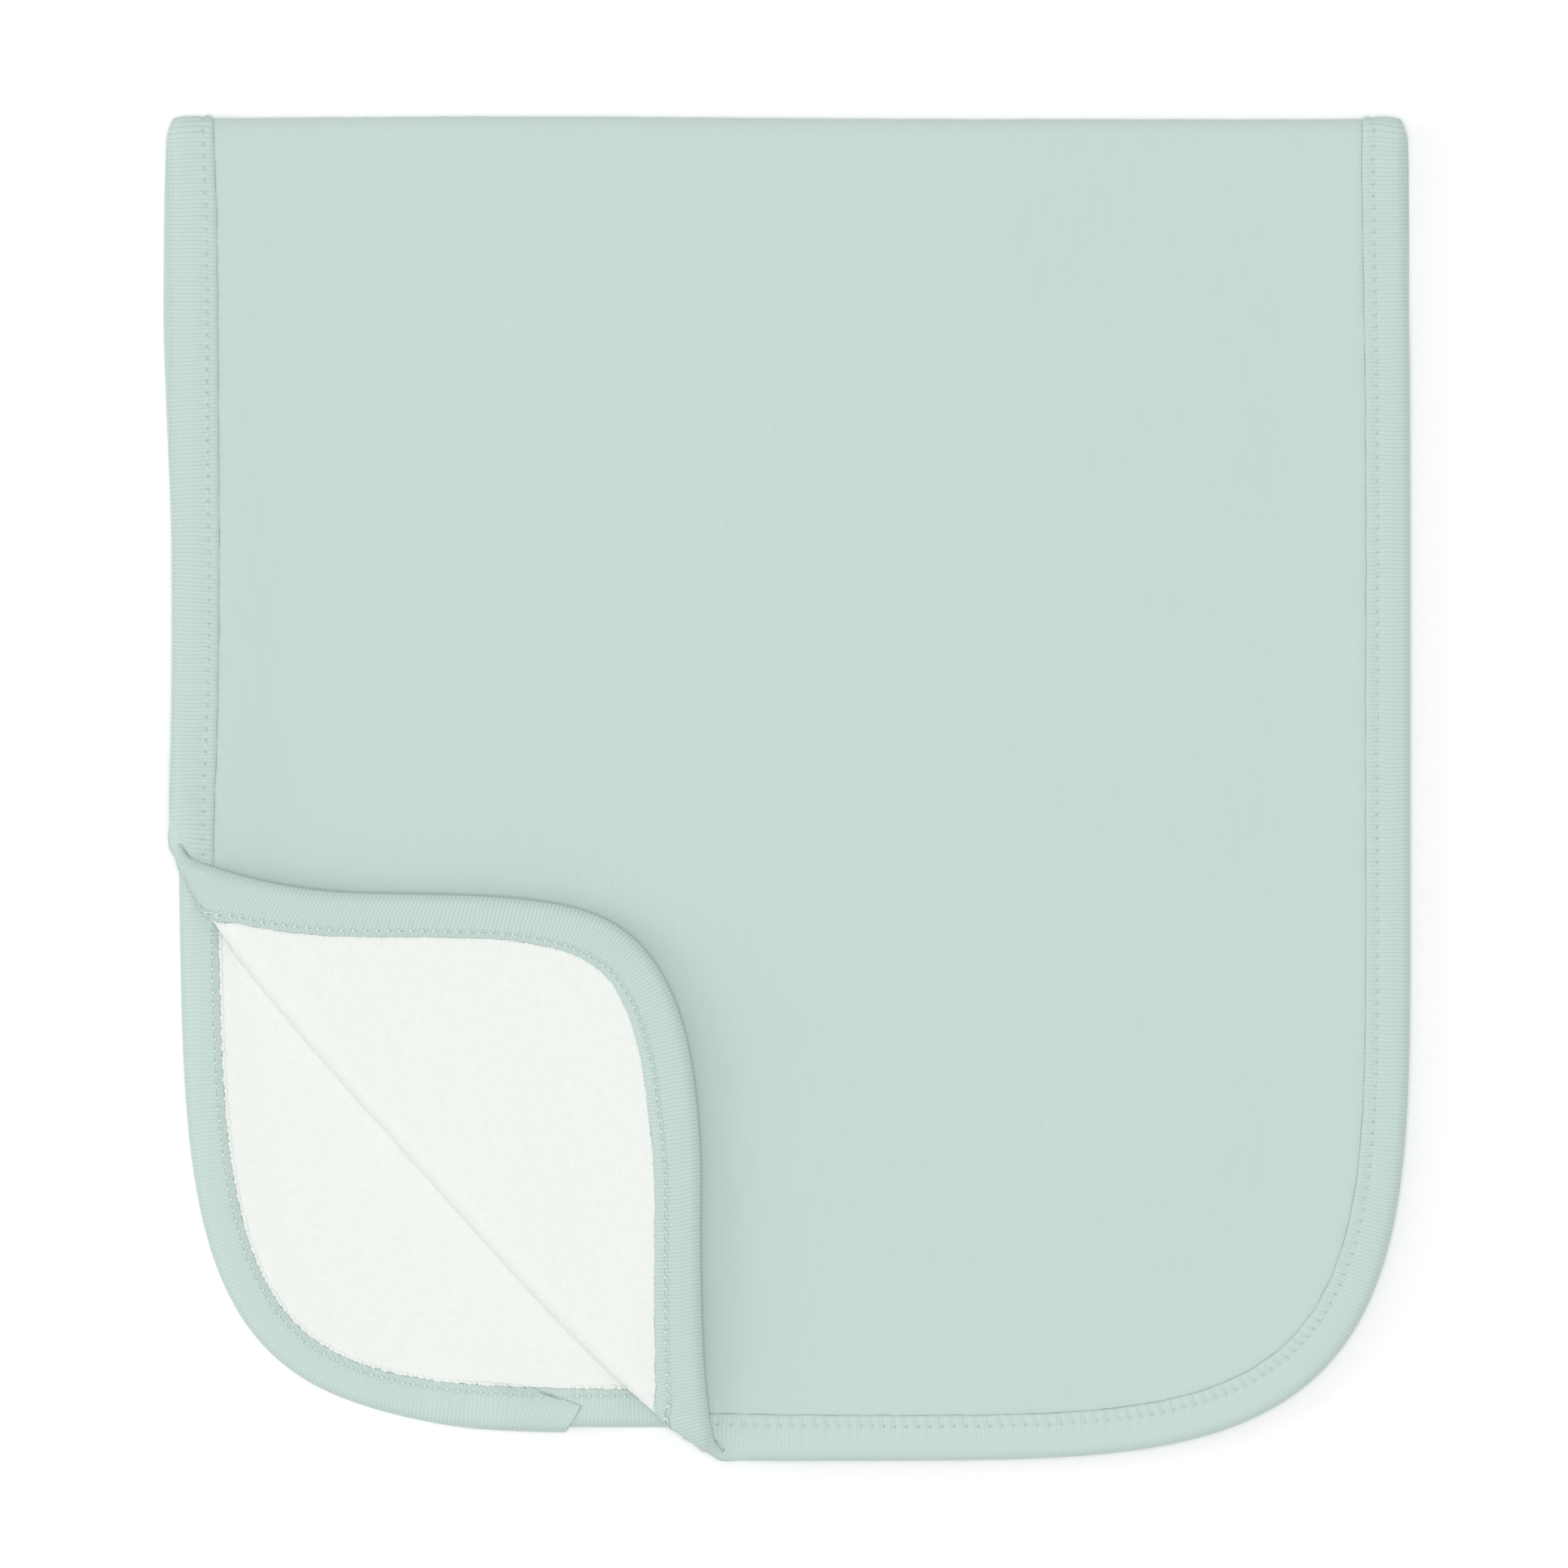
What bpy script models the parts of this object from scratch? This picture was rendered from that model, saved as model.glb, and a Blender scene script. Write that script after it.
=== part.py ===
"""A burp cloth, folded in half and laid flat, with one corner of its front turned back.

The cloth is a long panel with round ends: knitted jersey outside, a brushed lining inside, and one
knitted tape that is folded over the edge and sewn on all the way round. It lies with the jersey
outside, the fold at +Y and the back half on the surface at Z = 0. The front's lower left corner is
rolled over to show the lining. Metres, +Z up, origin under the middle of the folded cloth.

Spread flat, a point of the cloth is (across, along): across is X, and along is 0 on the fold, negative
on the front and positive on the back. lay() takes such a point to where it lies. Its depth is measured
from the middle of the cloth's thickness towards the jersey, and its inset from the cloth's edge.
"""

import math

import bmesh
import bpy
import numpy as np
from mathutils import Vector
from mathutils.geometry import delaunay_2d_cdt

MM = 0.001

# Thicknesses and gaps, in mm.
PLY_GAP = 0.3  # between the two plies, and between the tape and what it holds
PLY = 1.0  # jersey or lining, where it is free
PRESSED_PLY = 0.5  # the same, pressed flat inside the tape
TAPE = 0.65
CLOTH_HALF = PLY_GAP / 2 + PLY
TAPE_ROOM_HALF = PLY_GAP / 2 + PRESSED_PLY + PLY_GAP
TAPE_HALF = TAPE_ROOM_HALF + TAPE

# The tape's widths and what it covers, in mm from the outer edge.
TAPE_OUTSIDE = 9.2
TAPE_INSIDE = 8.0
TAPE_EDGE_WALL = 0.9
TAPE_EDGE_FACET = 0.2  # the folded edge is rounded by a facet above and one below
TAPE_EDGE_FACET_IN = 0.25
TAPE_EDGE_FACET_SHARE = 0.65
PLY_EDGE = 1.5
SWELL_START = TAPE_OUTSIDE + PLY_GAP  # past the tape a ply swells to its full thickness
SWELL_END = 12.5

# The fold at the top, in mm.
FOLD_RADIUS = 2.4
FOLD_ARC = math.pi * FOLD_RADIUS
FOLD_AXIS_Y = 125.4
FOLD_BOW = 0.55  # the fold bows up a little, left of the middle
FOLD_BOW_X = -54.0
FOLD_BOW_WIDTH = 55.0
FOLD_PULL = 1.1  # how far the tape's edge draws in as it goes over the fold
FOLD_PULL_LENGTH = 2.2
FOLD_SETTLE = 26.0  # the length over which the front comes down from the fold

# Heights of the cloth's middle, in mm.
BACK_HEIGHT = CLOTH_HALF
BACK_EDGE_HEIGHT = TAPE_HALF
BACK_SLOPE_END = 16.5  # the inset from which the back lies flat
FRONT_HEIGHT = 4.1
FRONT_EDGE_HEIGHT = 5.25
FRONT_SLOPE_END = 25.0
WAVES = [  # the front's unevenness: height and length in mm, direction and start in degrees
    {"height": 0.16, "length": 118.0, "direction": 32.0, "start": 20.0},
    {"height": 0.10, "length": 67.0, "direction": 104.0, "start": 130.0},
]

# The crease of the turned corner, in mm as seen from above: the chord of its outermost line.
CREASE_START = np.array([-112.3, -22.9])
CREASE_END = np.array([-25.2, -120.3])
CREASE_BULGE = 2.5
CREASE_STRAIGHT = 1.4  # past this share of its half length, the crease runs on straight
CREASE_RADIUS = 2.2
CREASE_ARC = math.pi * CREASE_RADIUS
CREASE_PULL = 0.7  # how far the tape's edge draws in as it goes over the roll
CREASE_PULL_LENGTH = 5.0
FLAP_DROP = 0.3  # how far the turned corner comes down from the roll
FLAP_DROP_LENGTH = 30.0
FLAP_RIM = 0.3  # how much higher its edge lies than its middle

# The two round ends are superellipses: their lowest Y, height in mm and power.
FRONT_END = {"y": -129.5, "height": 118.8, "power": 4.4}
BACK_END = {"y": -123.2, "height": 150.0, "power": 5.3}

# Side edges as they lie, in mm: rows of Y and X, downwards.
FRONT_RIGHT = [(126.0, 119.3), (105.0, 119.6), (80.0, 120.1), (40.0, 120.2), (-130.0, 120.2)]
BACK_RIGHT = [(126.0, 120.0), (105.0, 120.1), (60.0, 119.9), (0.0, 119.7), (-130.0, 119.5)]
BACK_LEFT = [
    (126.0, -119.6),
    (115.0, -120.0),
    (89.0, -120.2),
    (73.0, -119.6),
    (57.0, -118.9),
    (27.0, -118.0),
    (-5.0, -117.3),
    (-36.0, -117.0),
    (-130.0, -116.9),
]
# The front's left edge and its corner before it is turned, in mm: rows of X and Y, upwards.
FRONT_LEFT = [
    (-25.3, -129.1),
    (-47.3, -128.6),
    (-64.8, -127.7),
    (-79.7, -126.6),
    (-94.1, -123.9),
    (-105.3, -120.3),
    (-113.8, -115.4),
    (-119.9, -109.4),
    (-123.5, -101.4),
    (-124.6, -90.8),
    (-124.2, -79.4),
    (-122.7, -65.4),
    (-120.6, -49.4),
    (-119.6, -33.4),
    (-119.4, -17.5),
    (-119.2, -4.4),
    (-118.6, 10.0),
    (-118.4, 30.0),
    (-118.5, 60.0),
    (-118.6, 90.0),
    (-118.8, 112.0),
    (-119.3, 126.0),
]

# The tape's two ends lap on the back's lower edge, in mm.
LAP_START_X = -54.5  # the end that lies under
LAP_END_X = -42.5  # the end that lies over
LAP_SLANT = 0.35  # the upper end is cut at a slant
LAP_RAMP = 7.0  # the length over which the upper end rises
LAP_REST = 12.0  # the length over which the edge comes down to the surface again
LAP_CLEAR = 0.4

# How finely the solids are drawn, in mm and radians.
EDGE_SAMPLE = 0.5
EDGE_SMOOTHING = 4.0
EDGE_STEP = 13.0
EDGE_TURN = math.radians(8.0)
SIDE_SAMPLES = 60
END_SAMPLES = 400
CURVE_SAMPLES = 40
ROLL_STEPS = 8
ROW_STEP = 16.0
SEED_STEP = 26.0
SEED_CLEAR = 8.0
SLANT_BLEND = 34.0  # the length over which the tape's sections turn to run along the crease
MOST_SLANT = 1.5
LEAST_TURN = 0.1  # the least that the edge is taken to head across the crease
SHARP_ANGLE = math.radians(50.0)

MATERIALS = {
    "outer_panel": {"name": "Mint cotton jersey", "colour": (0.571, 0.701, 0.658), "roughness": 0.85},
    "lining_panel": {"name": "White brushed terry", "colour": (0.888, 0.913, 0.879), "roughness": 0.95},
    "binding": {"name": "Mint rib-knit tape", "colour": (0.558, 0.687, 0.645), "roughness": 0.85},
}

CREASE_LENGTH = float(np.linalg.norm(CREASE_END - CREASE_START))
CREASE_ALONG = (CREASE_END - CREASE_START) / CREASE_LENGTH
CREASE_ACROSS = np.array([CREASE_ALONG[1], -CREASE_ALONG[0]])  # towards the lower left


def ease(share):
    """0 to 1, with a level start and end."""
    share = np.clip(share, 0.0, 1.0)
    return share * share * (3 - 2 * share)


def fold_axis_y(across):
    return FOLD_AXIS_Y + FOLD_BOW * np.exp(-(((across - FOLD_BOW_X) / FOLD_BOW_WIDTH) ** 2))


def flat_from_front(x, y):
    """The cloth's point that lies at x, y on the front, before the corner is turned."""
    return np.stack([x, y - fold_axis_y(x) - FOLD_ARC / 2], axis=-1)


def flat_from_back(x, y):
    return np.stack([x, fold_axis_y(x) - y + FOLD_ARC / 2], axis=-1)


def crease_axis(way):
    """How far the roll's axis lies from the crease's chord, at a distance along it."""
    share = np.abs(2 * way / CREASE_LENGTH - 1)
    curved = np.minimum(share, CREASE_STRAIGHT)
    bend = curved**4 + 4 * CREASE_STRAIGHT**3 * (share - curved)
    return CREASE_BULGE * (1 - bend) - CREASE_RADIUS - CLOTH_HALF


def from_crease(flat):
    """Each point's distance along the crease, and its distance past the roll's axis."""
    y = flat[:, 1] + FOLD_ARC / 2 + fold_axis_y(flat[:, 0])
    offset = np.stack([flat[:, 0], y], axis=-1) - CREASE_START
    way = offset @ CREASE_ALONG
    return way, offset @ CREASE_ACROSS - crease_axis(way)


def lap_lift(flat):
    """1 where the tape's ends lap, and 0 away from them."""
    middle = (LAP_START_X + LAP_END_X) / 2
    beside = np.abs(flat[:, 0] - middle) - (LAP_END_X - LAP_START_X) / 2 - LAP_RAMP
    return np.where(flat[:, 1] > FOLD_ARC, ease(1 - beside / LAP_REST), 0.0)


def lay(flat, depth, inset):
    """Where points of the flat cloth lie, in mm."""
    across, along = flat[:, 0], flat[:, 1]
    back_rim = 1 - ease((inset - TAPE_OUTSIDE) / (BACK_SLOPE_END - TAPE_OUTSIDE))
    lift = BACK_EDGE_HEIGHT - BACK_HEIGHT + (TAPE + PLY_GAP) * lap_lift(flat)
    back = BACK_HEIGHT + lift * back_rim

    turn = np.clip((along + FOLD_ARC / 2) / FOLD_RADIUS, 0.0, math.pi)
    past_fold = np.maximum(np.abs(along) - FOLD_ARC / 2, 0.0)
    pull = FOLD_PULL * np.exp(-((along / FOLD_PULL_LENGTH) ** 2)) * (1 - ease(inset / TAPE_OUTSIDE))
    x = across - np.sign(across) * pull
    y = fold_axis_y(across) + (FOLD_RADIUS + depth) * np.sin(turn) - past_fold
    z = back + FOLD_RADIUS + (FOLD_RADIUS + depth) * np.cos(turn)

    way, past = from_crease(flat)
    on_front = along < -FOLD_ARC / 2
    rim = 1 - ease((inset - TAPE_OUTSIDE) / (FRONT_SLOPE_END - TAPE_OUTSIDE))
    rim_height = FRONT_EDGE_HEIGHT - FRONT_HEIGHT
    rim_height = rim_height + (FLAP_RIM - rim_height) * ease(past / CREASE_ARC)
    front = FRONT_EDGE_HEIGHT - rim_height * (1 - rim)
    for wave in WAVES:
        heading = math.radians(wave["direction"])
        phase = (across * math.cos(heading) + along * math.sin(heading)) / wave["length"]
        swing = np.sin(2 * math.pi * phase + math.radians(wave["start"]))
        front = front + wave["height"] * swing * (1 - rim)
    drop = (back + 2 * FOLD_RADIUS - front) * ease(past_fold / FOLD_SETTLE)
    z = np.where(on_front, z - drop, z)

    roll = np.clip(past / CREASE_RADIUS, 0.0, math.pi)
    reach = crease_axis(way) + (CREASE_RADIUS - depth) * np.sin(roll) - np.maximum(past - CREASE_ARC, 0.0)
    rise = (CREASE_RADIUS - depth) * (1 - np.cos(roll))
    rise = rise - FLAP_DROP * ease((past - CREASE_ARC) / FLAP_DROP_LENGTH)
    turned = on_front & (past > 0)
    x = np.where(turned, CREASE_START[0] + way * CREASE_ALONG[0] + reach * CREASE_ACROSS[0], x)
    y = np.where(turned, CREASE_START[1] + way * CREASE_ALONG[1] + reach * CREASE_ACROSS[1], y)
    z = np.where(turned, z + rise, z)

    pull = CREASE_PULL * np.exp(-(((past - CREASE_ARC / 2) / CREASE_PULL_LENGTH) ** 2))
    pull = pull * on_front * (1 - ease(inset / TAPE_OUTSIDE)) * np.sign(CREASE_LENGTH / 2 - way)
    x = x + pull * CREASE_ALONG[0]
    y = y + pull * CREASE_ALONG[1]
    return np.stack([x, y, z], axis=-1)


def side_at(rows, y):
    table = np.array(rows[::-1])
    return np.interp(y, table[:, 0], table[:, 1])


def side_edge(rows, start_y, stop_y):
    y = np.linspace(start_y, stop_y, SIDE_SAMPLES)
    return side_at(rows, y), y


def round_end(end, left_rows, right_rows, start, stop):
    """X and Y along a round end, between two angles of its superellipse: 0 is right, half a turn left."""
    angles = np.linspace(start, stop, END_SAMPLES)
    y = end["y"] + end["height"] * (1 - np.sin(angles) ** (2 / end["power"]))
    left, right = side_at(left_rows, y), side_at(right_rows, y)
    share = np.sign(np.cos(angles)) * np.abs(np.cos(angles)) ** (2 / end["power"])
    return (left + right) / 2 + (right - left) / 2 * share, y


def curve_through(points):
    """A smooth curve through the points, as X and Y."""
    points = np.array(points)
    ends = np.concatenate([[2 * points[0] - points[1]], points, [2 * points[-1] - points[-2]]])
    share = np.linspace(0, 1, CURVE_SAMPLES, endpoint=False)[:, None]
    made = []
    for before, start, stop, after in zip(ends, ends[1:], ends[2:], ends[3:]):
        bend = 2 * before - 5 * start + 4 * stop - after
        twist = 3 * start - before - 3 * stop + after
        made.append(start + ((stop - before) * share + bend * share**2 + twist * share**3) / 2)
    return np.concatenate([*made, points[-1:]]).T


def evenly(loop):
    """The closed loop again, with points about EDGE_SAMPLE apart."""
    closed = np.concatenate([loop, loop[:1]])
    length = np.concatenate([[0], np.cumsum(np.linalg.norm(np.diff(closed, axis=0), axis=1))])
    at = np.linspace(0, length[-1], round(length[-1] / EDGE_SAMPLE), endpoint=False)
    return np.stack([np.interp(at, length, closed[:, k]) for k in range(2)], axis=-1)


def flat_outline():
    """The flat cloth's edge, as a closed loop that starts at the tape's under end and runs to +X."""
    top = FOLD_AXIS_Y
    across_from_right = [(y, -x) for y, x in FRONT_RIGHT]
    loop = np.concatenate(
        [
            flat_from_back(*round_end(BACK_END, BACK_LEFT, BACK_RIGHT, math.pi, 0)),
            flat_from_back(*side_edge(BACK_RIGHT, BACK_END["y"] + BACK_END["height"], top)),
            flat_from_front(*side_edge(FRONT_RIGHT, top, FRONT_END["y"] + FRONT_END["height"])),
            flat_from_front(*round_end(FRONT_END, across_from_right, FRONT_RIGHT, 0, math.pi / 2)),
            flat_from_front(*curve_through(FRONT_LEFT)),
            flat_from_back(*side_edge(BACK_LEFT, top, BACK_END["y"] + BACK_END["height"])),
        ]
    )
    loop = evenly(loop)
    reach = round(EDGE_SMOOTHING / EDGE_SAMPLE)
    for _ in range(2):
        loop = np.mean([np.roll(loop, shift, axis=0) for shift in range(-reach, reach + 1)], axis=0)
    on_back_end = loop[:, 1] > loop[:, 1].max() - BACK_SLOPE_END
    start = np.where(on_back_end, np.abs(loop[:, 0] - LAP_START_X), np.inf).argmin()
    return evenly(np.roll(loop, -start, axis=0))


class Edge:
    """The cloth's edge. A place on it is a number of samples, whole or not, from the tape's under end."""

    def __init__(self):
        self.loop = flat_outline()
        self.count = len(self.loop)
        span = np.roll(self.loop, -2, axis=0) - np.roll(self.loop, 2, axis=0)
        self.forward = span / np.linalg.norm(span, axis=1)[:, None]
        self.inward = np.stack([self.forward[:, 1], -self.forward[:, 0]], axis=-1)
        self.slant = self.slants()

    def slants(self):
        """How far the tape's sections lean forward, so that each runs along the crease where it crosses."""
        way, past = from_crease(self.loop)
        along_edge = from_crease(self.loop + self.forward)[1] - past
        into_cloth = from_crease(self.loop + self.inward)[1] - past
        beyond = np.maximum(np.maximum(-past, past - CREASE_ARC), 0.0)
        share = np.where(self.loop[:, 1] < -FOLD_ARC, ease(1 - beyond / SLANT_BLEND), 0.0)
        slant = -into_cloth / np.where(np.abs(along_edge) < LEAST_TURN, LEAST_TURN, along_edge)
        return np.clip(slant, -MOST_SLANT, MOST_SLANT) * share

    def read(self, values, places):
        closed = np.concatenate([values, values[:1]])
        return np.stack(
            [np.interp(places % self.count, np.arange(self.count + 1), column) for column in closed.T],
            axis=-1,
        )

    def points(self, places, inset, lean=0.0):
        """The points at an inset from places on the edge."""
        slant = self.read(self.slant[:, None], places) + np.reshape(lean, (-1, 1))
        into = self.read(self.inward, places) + slant * self.read(self.forward, places)
        return self.read(self.loop, places) + into * np.reshape(inset, (-1, 1))

    def crossings(self, values, level):
        """The two places where a value along the edge passes a level."""
        before, after = values - level, np.roll(values, -1) - level
        at = np.flatnonzero(before * after < 0)
        return at + before[at] / (before[at] - after[at])

    def inset_of(self, flat):
        """Distances from the edge, negative outside it."""
        near = np.array([np.argmin(((self.loop - point) ** 2).sum(axis=1)) for point in flat])
        offset = flat - self.loop[near]
        return np.sign((offset * self.inward[near]).sum(axis=1)) * np.linalg.norm(offset, axis=1)


def filled(places, edge):
    """The places again, with more between them wherever the edge is long or turns."""
    turn = np.roll(edge.forward, -1, axis=0) - edge.forward
    cost = EDGE_SAMPLE / EDGE_STEP + np.linalg.norm(turn, axis=1) / EDGE_TURN
    total = np.concatenate([[0], np.cumsum(cost)])
    made = []
    for start, stop in zip(places, [*places[1:], edge.count]):
        spent = np.interp([start, stop], np.arange(edge.count + 1), total)
        steps = max(1, math.ceil(spent[1] - spent[0]))
        wanted = np.linspace(*spent, steps, endpoint=False)
        made.extend([start, *np.interp(wanted[1:], total, np.arange(edge.count + 1))])
    return np.array(made)


def roll_rows(edge):
    """The rows that a roll is drawn on: each one's two places on the edge, and its points between."""
    rows = []
    for level in np.linspace(-FOLD_ARC / 2, FOLD_ARC / 2, ROLL_STEPS + 1):
        x = np.arange(-ROW_STEP * 6, ROW_STEP * 6 + 1, ROW_STEP)
        rows.append((edge.crossings(edge.loop[:, 1], level), np.stack([x, np.full_like(x, level)], axis=-1)))
    on_front = edge.loop[:, 1] < -FOLD_ARC
    past = np.where(on_front, from_crease(edge.loop)[1], -edge.count)
    for level in np.linspace(0, CREASE_ARC, ROLL_STEPS + 1):
        places = edge.crossings(past, level)
        stop, start = np.sort(from_crease(edge.points(places, SWELL_END))[0])[::-1]
        way = np.arange(ROW_STEP, CREASE_LENGTH, ROW_STEP)
        way = way[(way > start + ROW_STEP / 3) & (way < stop - ROW_STEP / 3)]
        plan = CREASE_START + way[:, None] * CREASE_ALONG
        plan = plan + (crease_axis(way) + level)[:, None] * CREASE_ACROSS
        rows.append((places, flat_from_front(*plan.T)))
    return rows


def edge_places(edge, rows):
    lap = (LAP_END_X - LAP_START_X) / EDGE_SAMPLE
    clear = LAP_CLEAR / EDGE_SAMPLE
    ramp = LAP_RAMP / EDGE_SAMPLE
    crossings = np.concatenate([places for places, _ in rows])
    fixed = np.unique([0, lap, edge.count - ramp - clear, edge.count - clear, *crossings])
    return filled(fixed, edge), lap


def panel_net(edge, rows, places):
    """The flat cloth as triangles, out to PLY_EDGE: its points, its triangles and each point's inset."""
    count = len(places)
    rings = [edge.points(places, inset) for inset in (PLY_EDGE, SWELL_START, SWELL_END)]
    points = np.concatenate(rings)
    links = [(k * count + i, k * count + (i + 1) % count) for k in range(3) for i in range(count)]
    links.extend((k * count + i, (k + 1) * count + i) for k in range(2) for i in range(count))
    for ends, between in rows:
        first, last = (2 * count + int(np.flatnonzero(places == place)[0]) for place in ends)
        inside = list(range(len(points), len(points) + len(between)))
        points = np.concatenate([points, between])
        first_is_near = np.linalg.norm(points[first] - between[0]) < np.linalg.norm(points[last] - between[0])
        chain = [first, *inside, last] if first_is_near else [last, *inside, first]
        links.extend(zip(chain, chain[1:]))
    points = np.concatenate([points, seeds(edge)])
    net = delaunay_2d_cdt([Vector(point) for point in points], links, [], 1, 1e-5)
    points = np.array([point[:] for point in net[0]])
    return points, net[2], np.maximum(edge.inset_of(points), PLY_EDGE)


def seeds(edge):
    """Points in the open cloth, in staggered rows."""
    low, high = edge.loop.min(axis=0), edge.loop.max(axis=0)
    step_y = SEED_STEP * math.sin(math.pi / 3)
    made = []
    for k, y in enumerate(np.arange(low[1], high[1], step_y)):
        x = np.arange(low[0] + SEED_STEP / 2 * (k % 2), high[0], SEED_STEP)
        made.append(np.stack([x, np.full_like(x, y)], axis=-1))
    points = np.concatenate(made)
    way, past = from_crease(points)
    near_crease = (points[:, 1] < 0) & (past > -SEED_CLEAR) & (past < CREASE_ARC + SEED_CLEAR)
    near_fold = np.abs(points[:, 1]) < FOLD_ARC / 2 + SEED_CLEAR
    inside = edge.inset_of(points) > SWELL_END + SEED_CLEAR
    return points[inside & ~near_crease & ~near_fold]


def add_solid(name, points, faces):
    """One closed object, from points in mm."""
    shape = bmesh.new()
    corners = [shape.verts.new(point) for point in points * MM]
    for face in faces:
        shape.faces.new([corners[i] for i in face])
    bmesh.ops.recalc_face_normals(shape, faces=shape.faces)
    mesh = bpy.data.meshes.new(name)
    shape.to_mesh(mesh)
    shape.free()
    mesh.shade_smooth()
    mesh.set_sharp_from_angle(angle=SHARP_ANGLE)
    mesh.materials.append(cloth_material(**MATERIALS[name]))
    made = bpy.data.objects.new(name, mesh)
    bpy.context.scene.collection.objects.link(made)


def cloth_material(name, colour, roughness):
    material = bpy.data.materials.new(name)
    material.use_nodes = True
    shader = material.node_tree.nodes["Principled BSDF"]
    shader.inputs["Base Color"].default_value = (*colour, 1.0)
    shader.inputs["Roughness"].default_value = roughness
    shader.inputs["Metallic"].default_value = 0.0
    return material


def add_ply(name, side, net):
    """A ply on one side of the cloth's middle: 1 is the jersey's side and -1 the lining's."""
    points, triangles, inset = net
    thickness = PRESSED_PLY + (PLY - PRESSED_PLY) * ease((inset - SWELL_START) / (SWELL_END - SWELL_START))
    near = lay(points, np.full(len(points), side * PLY_GAP / 2), inset)
    far = lay(points, side * (PLY_GAP / 2 + thickness), inset)
    count = len(points)
    steps = {(a, b) for a, b, c in triangles} | {(b, c) for a, b, c in triangles}
    steps |= {(c, a) for a, b, c in triangles}
    rim = [(b, a, a + count, b + count) for a, b in sorted(steps) if (b, a) not in steps]
    far_faces = [tuple(i + count for i in triangle) for triangle in triangles]
    near_faces = [tuple(triangle[::-1]) for triangle in triangles]
    add_solid(name, np.concatenate([near, far]), [*near_faces, *far_faces, *rim])


def tape_section(lapped):
    """The folded tape's outline, as rows of inset and depth. Lapped, it is a size larger."""
    room = TAPE_ROOM_HALF + lapped * (TAPE + PLY_GAP)
    face = room + TAPE
    edge = -lapped * (TAPE_EDGE_WALL + PLY_GAP)
    wall = edge + TAPE_EDGE_WALL
    return np.array(
        [
            (TAPE_OUTSIDE, room),
            (TAPE_OUTSIDE, face),
            (wall + TAPE_EDGE_FACET, face),
            (edge + TAPE_EDGE_FACET_IN, TAPE_EDGE_FACET_SHARE * face),
            (edge, 0.0),
            (edge + TAPE_EDGE_FACET_IN, -TAPE_EDGE_FACET_SHARE * face),
            (wall + TAPE_EDGE_FACET, -face),
            (TAPE_INSIDE, -face),
            (TAPE_INSIDE, -room),
            (wall, -room),
            (wall, room),
        ]
    )


def add_tape(name, edge, places, lap):
    """The binding: one strip, from its under end round to its upper end."""
    turn_again = edge.count + places[places <= lap]
    places = np.concatenate([places, turn_again])
    ramp_end = edge.count - LAP_CLEAR / EDGE_SAMPLE
    lapped = np.clip(1 - (ramp_end - places) / (LAP_RAMP / EDGE_SAMPLE), 0.0, 1.0)
    sections = []
    for place, share in zip(places, lapped):
        inset, depth = tape_section(share).T
        lean = LAP_SLANT if place == places[-1] else 0.0
        flat = edge.points(np.full(len(inset), place), inset, lean)
        sections.append(lay(flat, depth, inset))
    size = len(inset)
    faces = [tuple(range(size)), tuple((len(places) - 1) * size + i for i in range(size))]
    for k in range(len(places) - 1):
        for i in range(size):
            after = (i + 1) % size
            faces.append((k * size + i, k * size + after, (k + 1) * size + after, (k + 1) * size + i))
    add_solid(name, np.concatenate(sections), faces)


def main():
    for thing in list(bpy.data.objects):
        bpy.data.objects.remove(thing, do_unlink=True)
    edge = Edge()
    rows = roll_rows(edge)
    places, lap = edge_places(edge, rows)
    net = panel_net(edge, rows, places)
    add_ply("outer_panel", 1, net)
    add_ply("lining_panel", -1, net)
    add_tape("binding", edge, places, lap)


main()
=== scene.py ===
"""A burp cloth of mint jersey and white terry, folded in half, with one front corner turned back.

Run as a script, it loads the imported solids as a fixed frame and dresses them: the two panels, the rib
tape round their edge, the sewing and the loops of pile along it, and a plain stage. Metres, +Z up.

Spread flat, a point of the cloth is (across, along): across is X, and along is 0 on the fold, negative
on the front and positive on the back. lay() takes such a point to where it lies. Its depth is measured
from the middle of the cloth's thickness towards the jersey, and its inset from the cloth's edge.
"""

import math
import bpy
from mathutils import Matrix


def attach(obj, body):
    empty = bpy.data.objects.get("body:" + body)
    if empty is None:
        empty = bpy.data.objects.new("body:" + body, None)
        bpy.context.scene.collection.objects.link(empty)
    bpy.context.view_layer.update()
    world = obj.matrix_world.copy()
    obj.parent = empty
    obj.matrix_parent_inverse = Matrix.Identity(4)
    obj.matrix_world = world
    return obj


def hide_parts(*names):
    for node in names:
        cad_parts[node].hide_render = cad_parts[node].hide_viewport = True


bl_info = {
    "name": "Folded burp cloth",
    "version": (1, 0, 0),
    "blender": (4, 5, 0),
    "location": "View3D > Sidebar > Burp cloth",
    "description": "Makes a folded burp cloth of jersey and terry, bound with rib tape",
    "category": "Add Mesh",
}

import bpy
import numpy as np
from mathutils import Vector
from mathutils.geometry import delaunay_2d_cdt

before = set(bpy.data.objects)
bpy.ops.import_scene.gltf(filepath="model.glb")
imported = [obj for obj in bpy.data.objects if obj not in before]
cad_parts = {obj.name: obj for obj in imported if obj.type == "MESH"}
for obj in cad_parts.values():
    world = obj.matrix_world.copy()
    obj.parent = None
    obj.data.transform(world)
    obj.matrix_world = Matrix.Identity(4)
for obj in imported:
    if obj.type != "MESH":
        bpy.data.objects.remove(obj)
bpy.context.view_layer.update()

MM = 0.001

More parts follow.
